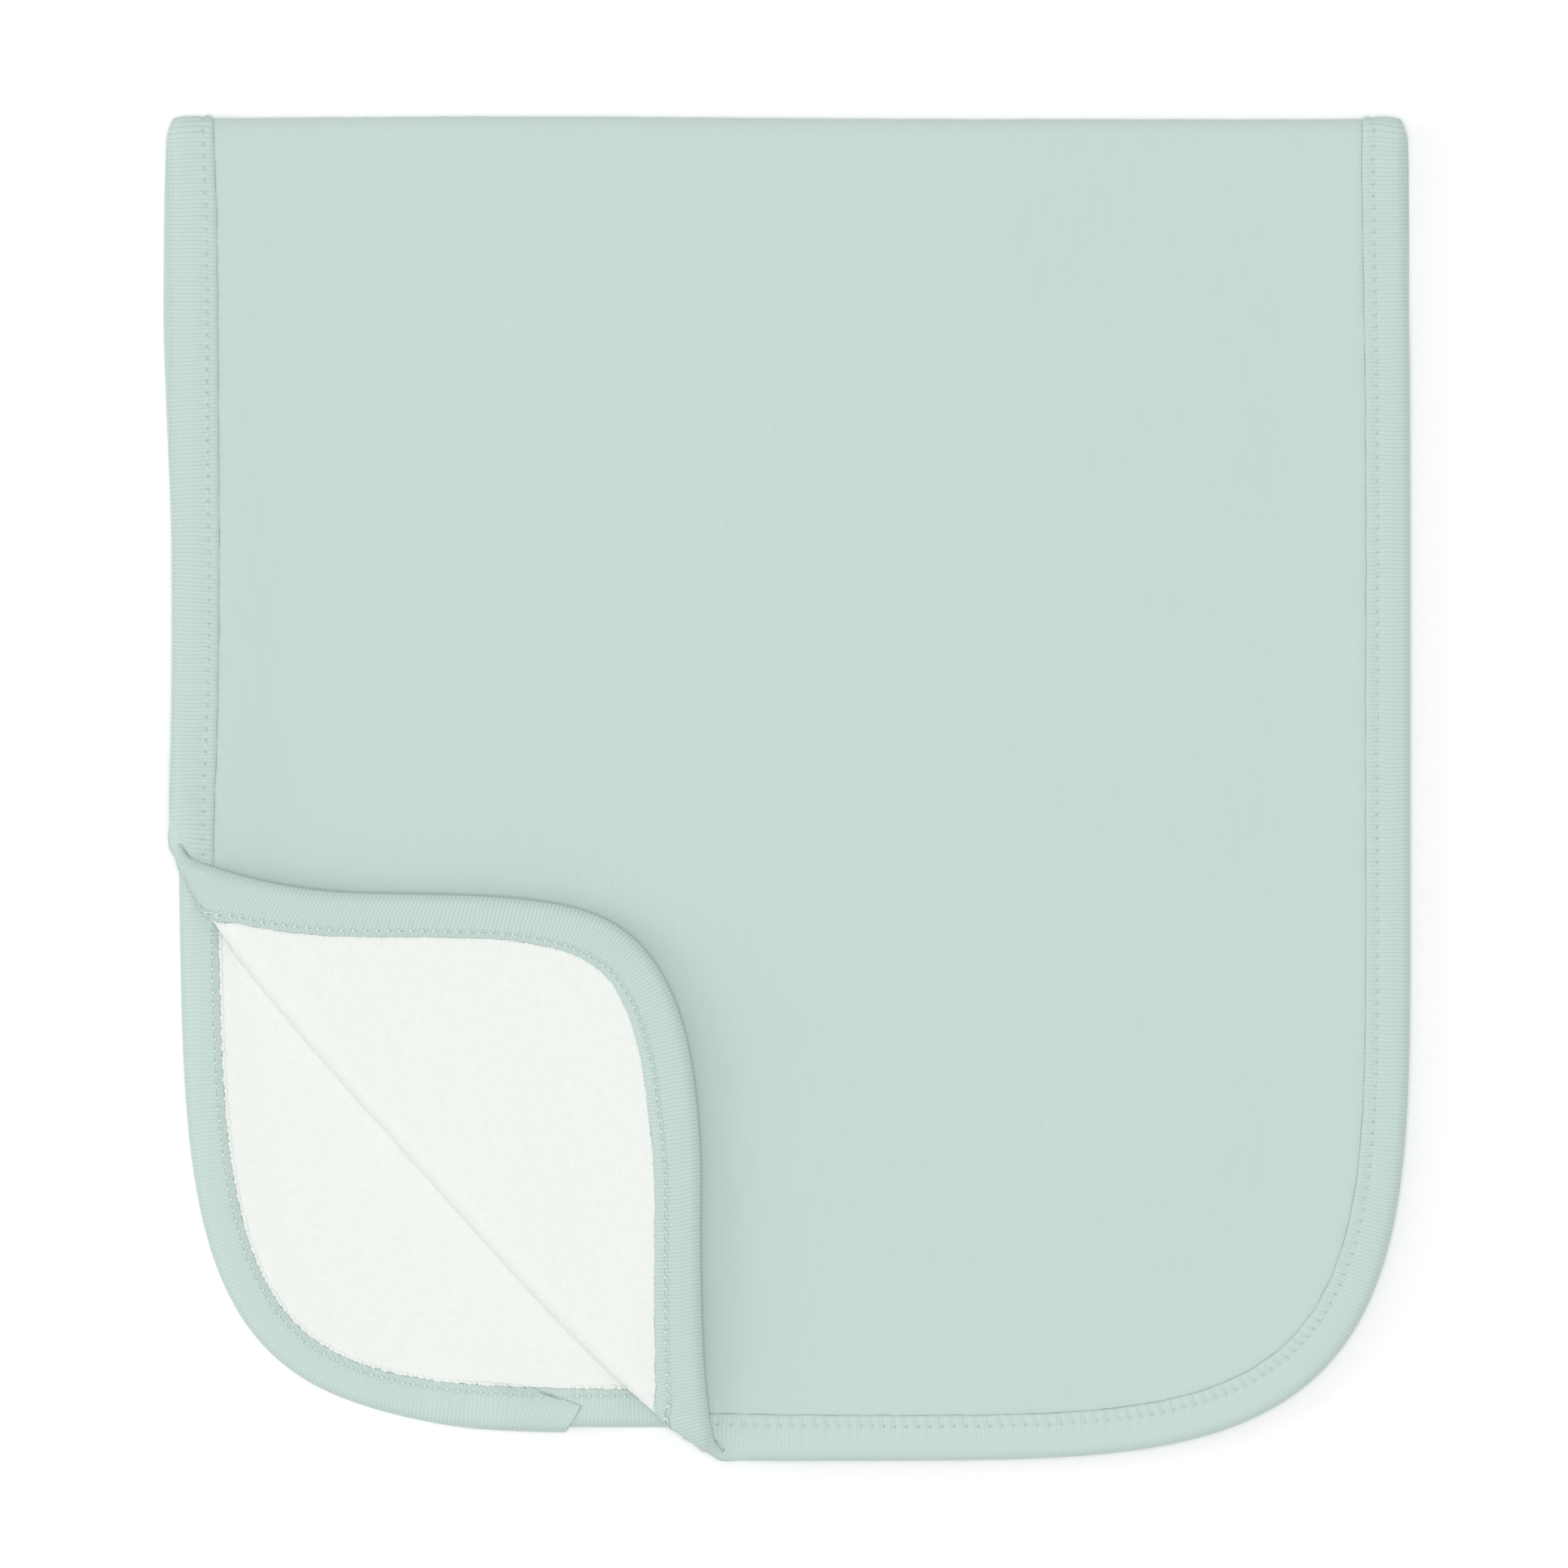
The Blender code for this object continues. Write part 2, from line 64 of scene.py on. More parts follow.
# The solids' own sizes, in mm: thicknesses and gaps.
PLY_GAP = 0.3
PLY = 1.0
PRESSED_PLY = 0.5  # a ply inside the tape
TAPE = 0.65
CLOTH_HALF = PLY_GAP / 2 + PLY
TAPE_ROOM_HALF = PLY_GAP / 2 + PRESSED_PLY + PLY_GAP
TAPE_HALF = TAPE_ROOM_HALF + TAPE
TAPE_OUTSIDE = 9.2
PLY_EDGE = 1.5

# The fold at the top, in mm.
FOLD_RADIUS = 2.4
FOLD_ARC = math.pi * FOLD_RADIUS
FOLD_AXIS_Y = 125.4
FOLD_BOW = 0.55
FOLD_BOW_X = -54.0
FOLD_BOW_WIDTH = 55.0
FOLD_PULL = 1.1
FOLD_PULL_LENGTH = 2.2
FOLD_SETTLE = 26.0

# Heights of the cloth's middle, in mm.
BACK_HEIGHT = CLOTH_HALF
BACK_EDGE_HEIGHT = TAPE_HALF
BACK_SLOPE_END = 16.5
FRONT_HEIGHT = 4.1
FRONT_EDGE_HEIGHT = 5.25
FRONT_SLOPE_END = 25.0
WAVES = [
    {"height": 0.16, "length": 118.0, "direction": 32.0, "start": 20.0},
    {"height": 0.10, "length": 67.0, "direction": 104.0, "start": 130.0},
    {"height": 0.06, "length": 31.0, "direction": 71.0, "start": 250.0},
]

# The crease of the turned corner, in mm as seen from above.
CREASE_START = np.array([-112.3, -22.9])
CREASE_END = np.array([-25.2, -120.3])
CREASE_BULGE = 2.5
CREASE_STRAIGHT = 1.4
CREASE_RADIUS = 2.2
CREASE_ARC = math.pi * CREASE_RADIUS
CREASE_PULL = 0.7
CREASE_PULL_LENGTH = 5.0
CREASE_END_PULL = -0.15  # at the crease's lower end the edge bulges out instead
FLAP_DROP = 0.3
FLAP_DROP_LENGTH = 30.0
FLAP_RIM = 0.3
FLAP_SETTLE = 0.75  # how far the turned tape sinks onto the front's beside the roll
FLAP_SETTLE_LENGTH = 9.0
CREASE_LIFT = 1.1  # how far the front's tape lifts towards the roll
CREASE_LIFT_LENGTH = 7.0
CREASE_REST = 1.15  # how far the back's lining swells up to the roll that rests on it
CREASE_REST_LENGTH = 4.0
CREASE_LENGTH = float(np.linalg.norm(CREASE_END - CREASE_START))
CREASE_ALONG = (CREASE_END - CREASE_START) / CREASE_LENGTH
CREASE_ACROSS = np.array([CREASE_ALONG[1], -CREASE_ALONG[0]])

# The round ends and the side edges as they lie, in mm.
FRONT_END = {"y": -129.5, "height": 118.8, "power": 4.5}
BACK_END = {"y": -123.2, "height": 150.0, "power": 5.48}
FRONT_RIGHT = [(126.0, 119.3), (105.0, 119.6), (80.0, 120.1), (40.0, 120.2), (-130.0, 120.2)]
BACK_RIGHT = [(126.0, 120.0), (105.0, 120.1), (60.0, 119.9), (0.0, 119.7), (-130.0, 119.5)]
BACK_LEFT = [
    (126.0, -119.6),
    (115.0, -120.0),
    (89.0, -120.2),
    (73.0, -119.6),
    (57.0, -118.9),
    (27.0, -118.0),
    (-5.0, -117.3),
    (-36.0, -117.0),
    (-130.0, -116.9),
]
FRONT_LEFT = [
    (-25.3, -129.1),
    (-47.3, -128.6),
    (-64.8, -127.7),
    (-79.7, -126.6),
    (-94.1, -123.9),
    (-105.3, -120.3),
    (-113.8, -115.4),
    (-119.9, -109.4),
    (-123.5, -101.4),
    (-124.6, -90.8),
    (-124.2, -79.4),
    (-122.7, -65.4),
    (-120.6, -49.4),
    (-119.6, -33.4),
    (-119.4, -17.5),
    (-119.2, -4.4),
    (-118.6, 10.0),
    (-118.4, 30.0),
    (-118.5, 60.0),
    (-118.6, 90.0),
    (-118.8, 112.0),
    (-119.3, 126.0),
]

# The tape's two ends lap on the back's lower edge, in mm.
LAP_START_X = -54.5
LAP_END_X = -42.5
LAP_RAMP = 7.0
LAP_REST = 12.0
LAP_CLEAR = 0.4
LAP_LIFT = TAPE + PLY_GAP
LAP_EDGE_GROWTH = 1.1  # how far the upper end's folded edge stands out past the lower one's
LAP_GROWTH_LENGTH = 32.0
LAP_POINT_INSETS = (0.0, 4.2, 6.7, 8.0)
LAP_POINT_REACH = (0.0, 3.1, -4.2, -8.5)  # how far the upper end reaches at those insets
LAP_POINT_LENGTH = 18.0
LAP_HUG = 0.9  # how much of its rise the upper end loses at its inner edge
LAP_THINNING = 0.7  # and at its very end

EDGE_SAMPLE = 0.5
EDGE_SMOOTHING = 4.0

# Past the tape each ply swells out from under it, in mm: the jersey and the lining.
JERSEY_SWELL = (7.2, 9.4)
LINING_SWELL = (6.0, 7.9)

# How finely the panels are drawn, in mm.
RINGS = (PLY_EDGE, 5.3, 7.6, 8.8, 9.8, 10.9, 12.5)
RING_STEP = 2.0
RING_ROLL_STEP = 0.8
RING_CLEAR = 1.3
NET_STEP = 4.0
FINE_NET_STEP = 1.25
ROLL_LEVEL_STEP = 0.75
ROLL_ROW_STEP = 3.0
ROLL_MARGIN = 2.5

# The tape as it is sewn on: rows of inset and depth in mm, and the shares of rib and pucker.
TAPE_ROWS = [
    (9.25, 1.0, 0.3, 0.0),
    (8.95, 1.38, 1.4, 0.6),
    (8.1, 1.66, 1.6, 1.7),
    (7.0, 1.34, 0.5, 1.3),
    (6.1, 1.58, 1.0, 0.4),
    (4.2, 1.64, 1.0, 0.0),
    (2.2, 1.6, 1.0, 0.0),
    (0.32, 1.2, 0.9, 0.0),
    (0.0, 0.0, 0.6, 0.0),
    (0.32, -1.2, 0.9, 0.0),
    (2.2, -1.6, 1.0, 0.0),
    (4.2, -1.64, 1.0, 0.0),
    (5.4, -1.58, 1.0, 0.3),
    (6.6, -1.48, 0.4, 0.8),
    (7.6, -1.46, 0.7, 0.5),
    (8.0, -1.0, 0.0, 0.0),
    (1.0, -0.9, 0.0, 0.0),
    (1.0, 0.9, 0.0, 0.0),
]
TAPE_GRIP = 4.5  # the inset past which the tape's width varies
TAPE_NARROWER = 0.5  # how much narrower it is at the right than at the left
BACK_TAPE_NARROWER = 0.35  # and on the lining's side of the back
FLAP_TAPE_WIDER = [(40.0, 0.2), (52.0, 0.9), (78.0, 1.6), (92.0, 1.5), (105.0, 0.7), (125.0, 0.5)]
RIB_SLANT = [(30.0, 0.36), (62.0, 0.0), (100.0, -0.15)]  # on the turned corner, along the crease
SAMPLES_A_RIB = 3
RIB_TURNED = 1.1  # how strong the ribs' relief and the shade painted in their furrows are on the turned corner, against the front's left
RIB_BACK = 0.65  # and on the back
RIB_LOSS_RIGHT = 0.12  # how much weaker they are at the right
RIB_LOSS_BELOW = 0.5  # and along the lower edge
NEEDLE_INSET = 7.0
NEEDLE_DEPTH = 1.46
CHAIN_INSET_FRONT = [(55.0, 6.7), (85.0, 5.9)]  # along the crease
CHAIN_INSET_BACK = 6.5
CHAIN_DEPTH = -1.6
TUFT_INSET = 8.15
TUFT_DEPTH = -1.14
TUFT_STRAY = 0.14
FLAP_TUFTS = 0.5  # how large the tufts are on the front, against those on the back
FLOOR_BELOW = 0.05
UNEVEN_WAVES = 18


# Laying out the cloth


def ease(share):
    """0 to 1, with a level start and end."""
    share = np.clip(share, 0.0, 1.0)
    return share * share * (3 - 2 * share)


def uneven(points, length, seed):
    """A smooth unevenness of about -1 to 1, whose swells are about length apart."""
    chance = np.random.default_rng(seed)
    headings = chance.normal(size=(UNEVEN_WAVES, points.shape[1]))
    headings = headings / np.linalg.norm(headings, axis=1)[:, None]
    lengths = length * chance.uniform(0.7, 1.6, UNEVEN_WAVES)
    phases = points @ (headings / lengths[:, None]).T * 2 * math.pi
    swings = np.sin(phases + chance.uniform(0, 2 * math.pi, UNEVEN_WAVES))
    return swings.sum(axis=1) / math.sqrt(2 * UNEVEN_WAVES)


def fold_axis_y(across):
    return FOLD_AXIS_Y + FOLD_BOW * np.exp(-(((across - FOLD_BOW_X) / FOLD_BOW_WIDTH) ** 2))


def flat_from_front(x, y):
    """The cloth's point that lies at x, y on the front, before the corner is turned."""
    return np.stack([x, y - fold_axis_y(x) - FOLD_ARC / 2], axis=-1)


def flat_from_back(x, y):
    return np.stack([x, fold_axis_y(x) - y + FOLD_ARC / 2], axis=-1)


def crease_axis(way):
    """How far the roll's axis lies from the crease's chord, at a distance along it."""
    share = np.abs(2 * way / CREASE_LENGTH - 1)
    curved = np.minimum(share, CREASE_STRAIGHT)
    bend = curved**4 + 4 * CREASE_STRAIGHT**3 * (share - curved)
    return CREASE_BULGE * (1 - bend) - CREASE_RADIUS - CLOTH_HALF


def from_crease(flat):
    """Each point's distance along the crease, and its distance past the roll's axis."""
    y = flat[:, 1] + FOLD_ARC / 2 + fold_axis_y(flat[:, 0])
    offset = np.stack([flat[:, 0], y], axis=-1) - CREASE_START
    way = offset @ CREASE_ALONG
    return way, offset @ CREASE_ACROSS - crease_axis(way)


def lap_lift(flat):
    """1 where the tape's ends lap, and 0 away from them."""
    middle = (LAP_START_X + LAP_END_X) / 2
    beside = np.abs(flat[:, 0] - middle) - (LAP_END_X - LAP_START_X) / 2 - LAP_RAMP
    return np.where(flat[:, 1] > FOLD_ARC, ease(1 - beside / LAP_REST), 0.0)


def under_crease(flat):
    """1 on the back where the roll of the turned corner rests on it, and 0 away from there."""
    lying = np.stack([flat[:, 0], fold_axis_y(flat[:, 0]) - flat[:, 1] + FOLD_ARC / 2], axis=-1)
    way = (lying - CREASE_START) @ CREASE_ALONG
    outermost = crease_axis(way) + CREASE_RADIUS + CLOTH_HALF
    beside = (lying - CREASE_START) @ CREASE_ACROSS - outermost + CREASE_RADIUS
    return np.where(flat[:, 1] > FOLD_ARC, np.exp(-((beside / CREASE_REST_LENGTH) ** 2)), 0.0)


def lay(flat, depth, inset):
    """Where points of the flat cloth lie, in mm."""
    across, along = flat[:, 0], flat[:, 1]
    back_rim = 1 - ease((inset - TAPE_OUTSIDE) / (BACK_SLOPE_END - TAPE_OUTSIDE))
    lift = BACK_EDGE_HEIGHT - BACK_HEIGHT + LAP_LIFT * lap_lift(flat)
    back = BACK_HEIGHT + lift * back_rim
    swell = CREASE_REST * (1 - back_rim) * under_crease(flat) * (depth < 0)
    back = back + swell

    turn = np.clip((along + FOLD_ARC / 2) / FOLD_RADIUS, 0.0, math.pi)
    past_fold = np.maximum(np.abs(along) - FOLD_ARC / 2, 0.0)
    pull = FOLD_PULL * np.exp(-((along / FOLD_PULL_LENGTH) ** 2)) * (1 - ease(inset / TAPE_OUTSIDE))
    x = across - np.sign(across) * pull
    y = fold_axis_y(across) + (FOLD_RADIUS + depth) * np.sin(turn) - past_fold
    z = back + FOLD_RADIUS + (FOLD_RADIUS + depth) * np.cos(turn)

    way, past = from_crease(flat)
    on_front = along < -FOLD_ARC / 2
    rim = 1 - ease((inset - TAPE_OUTSIDE) / (FRONT_SLOPE_END - TAPE_OUTSIDE))
    rim_height = FRONT_EDGE_HEIGHT - FRONT_HEIGHT
    rim_height = rim_height + (FLAP_RIM - rim_height) * ease(past / CREASE_ARC)
    front = FRONT_EDGE_HEIGHT - rim_height * (1 - rim)
    for wave in WAVES:
        heading = math.radians(wave["direction"])
        phase = (across * math.cos(heading) + along * math.sin(heading)) / wave["length"]
        swing = np.sin(2 * math.pi * phase + math.radians(wave["start"]))
        front = front + wave["height"] * swing * (1 - rim)
    lifting = np.exp(-((np.minimum(past, 0.0) / CREASE_LIFT_LENGTH) ** 2)) * ease(1 - past / CREASE_ARC)
    front = front + CREASE_LIFT * lifting * (1 - ease((inset - TAPE_GRIP) / TAPE_OUTSIDE))
    drop = (back + 2 * FOLD_RADIUS - front) * ease(past_fold / FOLD_SETTLE)
    z = np.where(on_front, z - drop, z)

    roll = np.clip(past / CREASE_RADIUS, 0.0, math.pi)
    reach = crease_axis(way) + (CREASE_RADIUS - depth) * np.sin(roll) - np.maximum(past - CREASE_ARC, 0.0)
    rise = (CREASE_RADIUS - depth) * (1 - np.cos(roll))
    rise = rise - FLAP_DROP * ease((past - CREASE_ARC) / FLAP_DROP_LENGTH)
    fading = np.exp(-((np.maximum(past - CREASE_ARC, 0.0) / FLAP_SETTLE_LENGTH) ** 2))
    fading = fading * (1 - ease((inset - TAPE_GRIP) / TAPE_OUTSIDE))
    rise = rise - FLAP_SETTLE * ease(past / CREASE_ARC) * fading
    turned = on_front & (past > 0)
    x = np.where(turned, CREASE_START[0] + way * CREASE_ALONG[0] + reach * CREASE_ACROSS[0], x)
    y = np.where(turned, CREASE_START[1] + way * CREASE_ALONG[1] + reach * CREASE_ACROSS[1], y)
    z = np.where(turned, z + rise, z)

    pull = CREASE_PULL * np.exp(-(((past - CREASE_ARC / 2) / CREASE_PULL_LENGTH) ** 2))
    pull = pull * on_front * (1 - ease(inset / TAPE_OUTSIDE))
    pull = pull * np.where(way < CREASE_LENGTH / 2, 1.0, -CREASE_END_PULL / CREASE_PULL)
    x = x + pull * CREASE_ALONG[0]
    y = y + pull * CREASE_ALONG[1]
    # The underside is pressed level where it touches the surface.
    return np.stack([x, y, np.maximum(z, 0.0)], axis=-1)


def side_at(rows, y):
    table = np.array(rows[::-1])
    return np.interp(y, table[:, 0], table[:, 1])


def side_edge(rows, start_y, stop_y):
    y = np.linspace(start_y, stop_y, 60)
    return side_at(rows, y), y


def round_end(end, left_rows, right_rows, start, stop):
    """X and Y along a round end, between two angles of its superellipse: 0 is right, half a turn left."""
    angles = np.linspace(start, stop, 400)
    y = end["y"] + end["height"] * (1 - np.sin(angles) ** (2 / end["power"]))
    left, right = side_at(left_rows, y), side_at(right_rows, y)
    share = np.sign(np.cos(angles)) * np.abs(np.cos(angles)) ** (2 / end["power"])
    return (left + right) / 2 + (right - left) / 2 * share, y


def curve_through(points):
    """A smooth curve through the points, as X and Y."""
    points = np.array(points)
    ends = np.concatenate([[2 * points[0] - points[1]], points, [2 * points[-1] - points[-2]]])
    share = np.linspace(0, 1, 40, endpoint=False)[:, None]
    made = []
    for before, start, stop, after in zip(ends, ends[1:], ends[2:], ends[3:]):
        bend = 2 * before - 5 * start + 4 * stop - after
        twist = 3 * start - before - 3 * stop + after
        made.append(start + ((stop - before) * share + bend * share**2 + twist * share**3) / 2)
    return np.concatenate([*made, points[-1:]]).T


def evenly(loop):
    """The closed loop again, with points about EDGE_SAMPLE apart."""
    closed = np.concatenate([loop, loop[:1]])
    length = np.concatenate([[0], np.cumsum(np.linalg.norm(np.diff(closed, axis=0), axis=1))])
    at = np.linspace(0, length[-1], round(length[-1] / EDGE_SAMPLE), endpoint=False)
    return np.stack([np.interp(at, length, closed[:, k]) for k in range(2)], axis=-1)


def flat_outline():
    """The flat cloth's edge, as a closed loop that starts at the tape's under end and runs to +X."""
    top = FOLD_AXIS_Y
    across_from_right = [(y, -x) for y, x in FRONT_RIGHT]
    loop = np.concatenate(
        [
            flat_from_back(*round_end(BACK_END, BACK_LEFT, BACK_RIGHT, math.pi, 0)),
            flat_from_back(*side_edge(BACK_RIGHT, BACK_END["y"] + BACK_END["height"], top)),
            flat_from_front(*side_edge(FRONT_RIGHT, top, FRONT_END["y"] + FRONT_END["height"])),
            flat_from_front(*round_end(FRONT_END, across_from_right, FRONT_RIGHT, 0, math.pi / 2)),
            flat_from_front(*curve_through(FRONT_LEFT)),
            flat_from_back(*side_edge(BACK_LEFT, top, BACK_END["y"] + BACK_END["height"])),
        ]
    )
    loop = evenly(loop)
    reach = round(EDGE_SMOOTHING / EDGE_SAMPLE)
    for _ in range(2):
        loop = np.mean([np.roll(loop, shift, axis=0) for shift in range(-reach, reach + 1)], axis=0)
    on_back_end = loop[:, 1] > loop[:, 1].max() - BACK_SLOPE_END
    start = np.where(on_back_end, np.abs(loop[:, 0] - LAP_START_X), np.inf).argmin()
    return evenly(np.roll(loop, -start, axis=0))


class Edge:
    """The cloth's edge. A place on it is a distance in mm from the tape's under end."""

    def __init__(self):
        self.loop = flat_outline()
        self.length = len(self.loop) * EDGE_SAMPLE
        span = np.roll(self.loop, -2, axis=0) - np.roll(self.loop, 2, axis=0)
        self.forward = span / np.linalg.norm(span, axis=1)[:, None]
        self.inward = np.stack([self.forward[:, 1], -self.forward[:, 0]], axis=-1)
        self.lap = LAP_END_X - LAP_START_X

    def read(self, values, places):
        closed = np.concatenate([values, values[:1]])
        at = (places % self.length) / EDGE_SAMPLE
        return np.stack([np.interp(at, np.arange(len(closed)), column) for column in closed.T], axis=-1)

    def points(self, places, inset):
        """The flat cloth's points at an inset from places on the edge."""
        return self.read(self.loop, places) + self.read(self.inward, places) * np.reshape(inset, (-1, 1))

    def inset_of(self, flat):
        """Distances from the edge, negative outside it."""
        near = np.array([np.argmin(((self.loop - point) ** 2).sum(axis=1)) for point in flat])
        offset = flat - self.loop[near]
        return np.sign((offset * self.inward[near]).sum(axis=1)) * np.linalg.norm(offset, axis=1)

    def lapped(self, places):
        """How far the tape has risen on its own under end: 0 to 1."""
        return np.clip(1 - (self.length - LAP_CLEAR - places) / LAP_RAMP, 0.0, 1.0)


EDGE = Edge()


# Making meshes


def closed_outwards(points, faces):
    """The faces of a closed shape, turned so that they point outwards."""
    a, b, c = (points[[face[k] for face in faces]] for k in range(3))
    return faces if (np.cross(a, b) * c).sum() > 0 else [face[::-1] for face in faces]


def add_piece(name, points, faces, flat, material):
    """One object from points in mm, with the flat cloth's own measures as its UV map."""
    mesh = bpy.data.meshes.new(name)
    mesh.from_pydata((points * MM).tolist(), [], faces)
    mesh.validate()
    layer = mesh.uv_layers.new(name="flat")
    corners = np.empty(len(mesh.loops), dtype=np.int32)
    mesh.loops.foreach_get("vertex_index", corners)
    layer.data.foreach_set("uv", (flat[corners] * MM).ravel())
    mesh.materials.append(material)
    mesh.shade_smooth()
    made = bpy.data.objects.new(name, mesh)
    bpy.context.scene.collection.objects.link(made)
    return made


def modelled(add, **sizes):
    """Adds a primitive by itself, ready to be shaped."""
    bpy.ops.object.select_all(action="DESELECT")
    add(**sizes)
    return bpy.context.active_object


def taken_apart(shape):
    """A shaped object's points in mm and its faces. The object itself is removed."""
    bpy.ops.object.transform_apply(location=True, rotation=True, scale=True)
    points = np.array([vertex.co[:] for vertex in shape.data.vertices]) / MM
    faces = [tuple(polygon.vertices) for polygon in shape.data.polygons]
    mesh = shape.data
    bpy.data.objects.remove(shape)
    bpy.data.meshes.remove(mesh)
    return points, faces


def repeated(faces, size, count):
    return [tuple(i + size * k for i in face) for k in range(count) for face in faces]


# Materials


def linear(hex_colour):
    """A colour as Blender wants it, from an sRGB hex value."""
    values = [int(hex_colour[k : k + 2], 16) / 255 for k in (0, 2, 4)]
    return tuple(v / 12.92 if v <= 0.04045 else ((v + 0.055) / 1.055) ** 2.4 for v in values)


def add_node(tree, kind, inputs=None, **settings):
    """Adds a node. Each input is given a value, or the output that feeds it."""
    node = tree.nodes.new(kind)
    for name, value in settings.items():
        setattr(node, name, value)
    for name, value in (inputs or {}).items():
        if isinstance(value, bpy.types.NodeSocket):
            tree.links.new(value, node.inputs[name])
        else:
            node.inputs[name].default_value = value
    return node


def new_material(name, roughness, sheen):
    """A cloth material, with its node tree and its shader."""
    material = bpy.data.materials.new(name)
    material.use_nodes = True
    shader = material.node_tree.nodes["Principled BSDF"]
    shader.inputs["Roughness"].default_value = roughness
    shader.inputs["Specular IOR Level"].default_value = 0.2
    shader.inputs["Sheen Weight"].default_value = sheen
    shader.inputs["Sheen Roughness"].default_value = 0.6
    return material, material.node_tree, shader


def noise_on(tree, place, size, detail=2.0):
    """Noise whose grains have the given size in mm: across, and along where they are longer that way."""
    scale = (1 / (size[0] * MM), 1 / (size[1] * MM), 1.0)
    mapped = add_node(tree, "ShaderNodeMapping", {"Vector": place, "Scale": scale})
    inputs = {"Vector": mapped.outputs["Vector"], "Scale": 1.0, "Detail": detail}
    return add_node(tree, "ShaderNodeTexNoise", inputs).outputs["Fac"]


def maths(tree, operation, first, second=0.0):
    return add_node(tree, "ShaderNodeMath", {0: first, 1: second}, operation=operation).outputs[0]


def between(tree, share, low, high, from_low=0.0, from_high=1.0):
    inputs = {"Value": share, "From Min": from_low, "From Max": from_high, "To Min": low, "To Max": high}
    return add_node(tree, "ShaderNodeMapRange", inputs).outputs["Result"]


def mixed(tree, share, first, second):
    """One colour into another by a share."""
    mix = add_node(tree, "ShaderNodeMix", data_type="RGBA")
    for name, value in (("Factor_Float", share), ("A_Color", first), ("B_Color", second)):
        socket = next(s for s in mix.inputs if s.identifier == name)
        if isinstance(value, bpy.types.NodeSocket):
            tree.links.new(value, socket)
        else:
            socket.default_value = (*value, 1.0) if isinstance(value, (tuple, list)) else value
    return next(s for s in mix.outputs if s.identifier == "Result_Color")


def darker(colour, share):
    return tuple(v * share for v in colour)


def jersey_material(colour):
    """Single jersey of combed cotton: matt and smooth, with fine uneven wales that run the cloth's length."""
    material, tree, shader = new_material("Mint cotton jersey", 0.85, 0.12)
    place = add_node(tree, "ShaderNodeUVMap", uv_map="flat").outputs["UV"]
    streaks = noise_on(tree, place, (0.75, 9.0), 3.0)
    patches = noise_on(tree, place, (38.0, 52.0), 1.0)
    across = add_node(tree, "ShaderNodeSeparateXYZ", {"Vector": place})
    wander = between(tree, noise_on(tree, place, (5.0, 9.0)), -2.2, 2.2)
    # The wales are 0.8 mm wide, as in a fine jersey, and the stitches in them 0.6 mm long.
    wale = maths(tree, "MULTIPLY", across.outputs["X"], 2 * math.pi / (0.8 * MM))
    wale = maths(tree, "SINE", maths(tree, "ADD", wale, wander))
    course = maths(tree, "MULTIPLY", across.outputs["Y"], 2 * math.pi / (0.6 * MM))
    course = maths(tree, "SINE", maths(tree, "ADD", course, wander))
    knit = maths(tree, "ADD", wale, maths(tree, "MULTIPLY", course, 0.35))
    height = maths(tree, "ADD", between(tree, knit, 0.0, 0.1, -1.35, 1.35), streaks)
    bump = add_node(tree, "ShaderNodeBump", {"Height": height, "Strength": 1.0, "Distance": 0.03 * MM})
    tree.links.new(bump.outputs["Normal"], shader.inputs["Normal"])
    tone = mixed(tree, between(tree, streaks, 0.0, 1.0, 0.3, 0.7), darker(colour, 0.987), darker(colour, 1.013))
    tone = mixed(tree, between(tree, patches, 0.0, 0.5, 0.35, 0.65), tone, darker(colour, 0.985))
    tree.links.new(tone, shader.inputs["Base Color"])
    return material


def terry_material(colour):
    """Brushed cotton terry: a soft white nap that scatters light, a little lumpy, with no gloss."""
    material, tree, shader = new_material("White brushed terry", 0.95, 0.25)
    place = add_node(tree, "ShaderNodeUVMap", uv_map="flat").outputs["UV"]
    lumps = noise_on(tree, place, (1.6, 1.3), 2.0)
    fibre = noise_on(tree, place, (0.35, 0.35), 3.0)
    height = maths(tree, "ADD", maths(tree, "MULTIPLY", lumps, 2.0), fibre)
    bump = add_node(tree, "ShaderNodeBump", {"Height": height, "Strength": 1.0, "Distance": 0.035 * MM})
    tree.links.new(bump.outputs["Normal"], shader.inputs["Normal"])
    tone = mixed(tree, between(tree, lumps, 0.0, 1.0, 0.3, 0.7), darker(colour, 0.978), darker(colour, 1.008))
    tree.links.new(tone, shader.inputs["Base Color"])
    return material


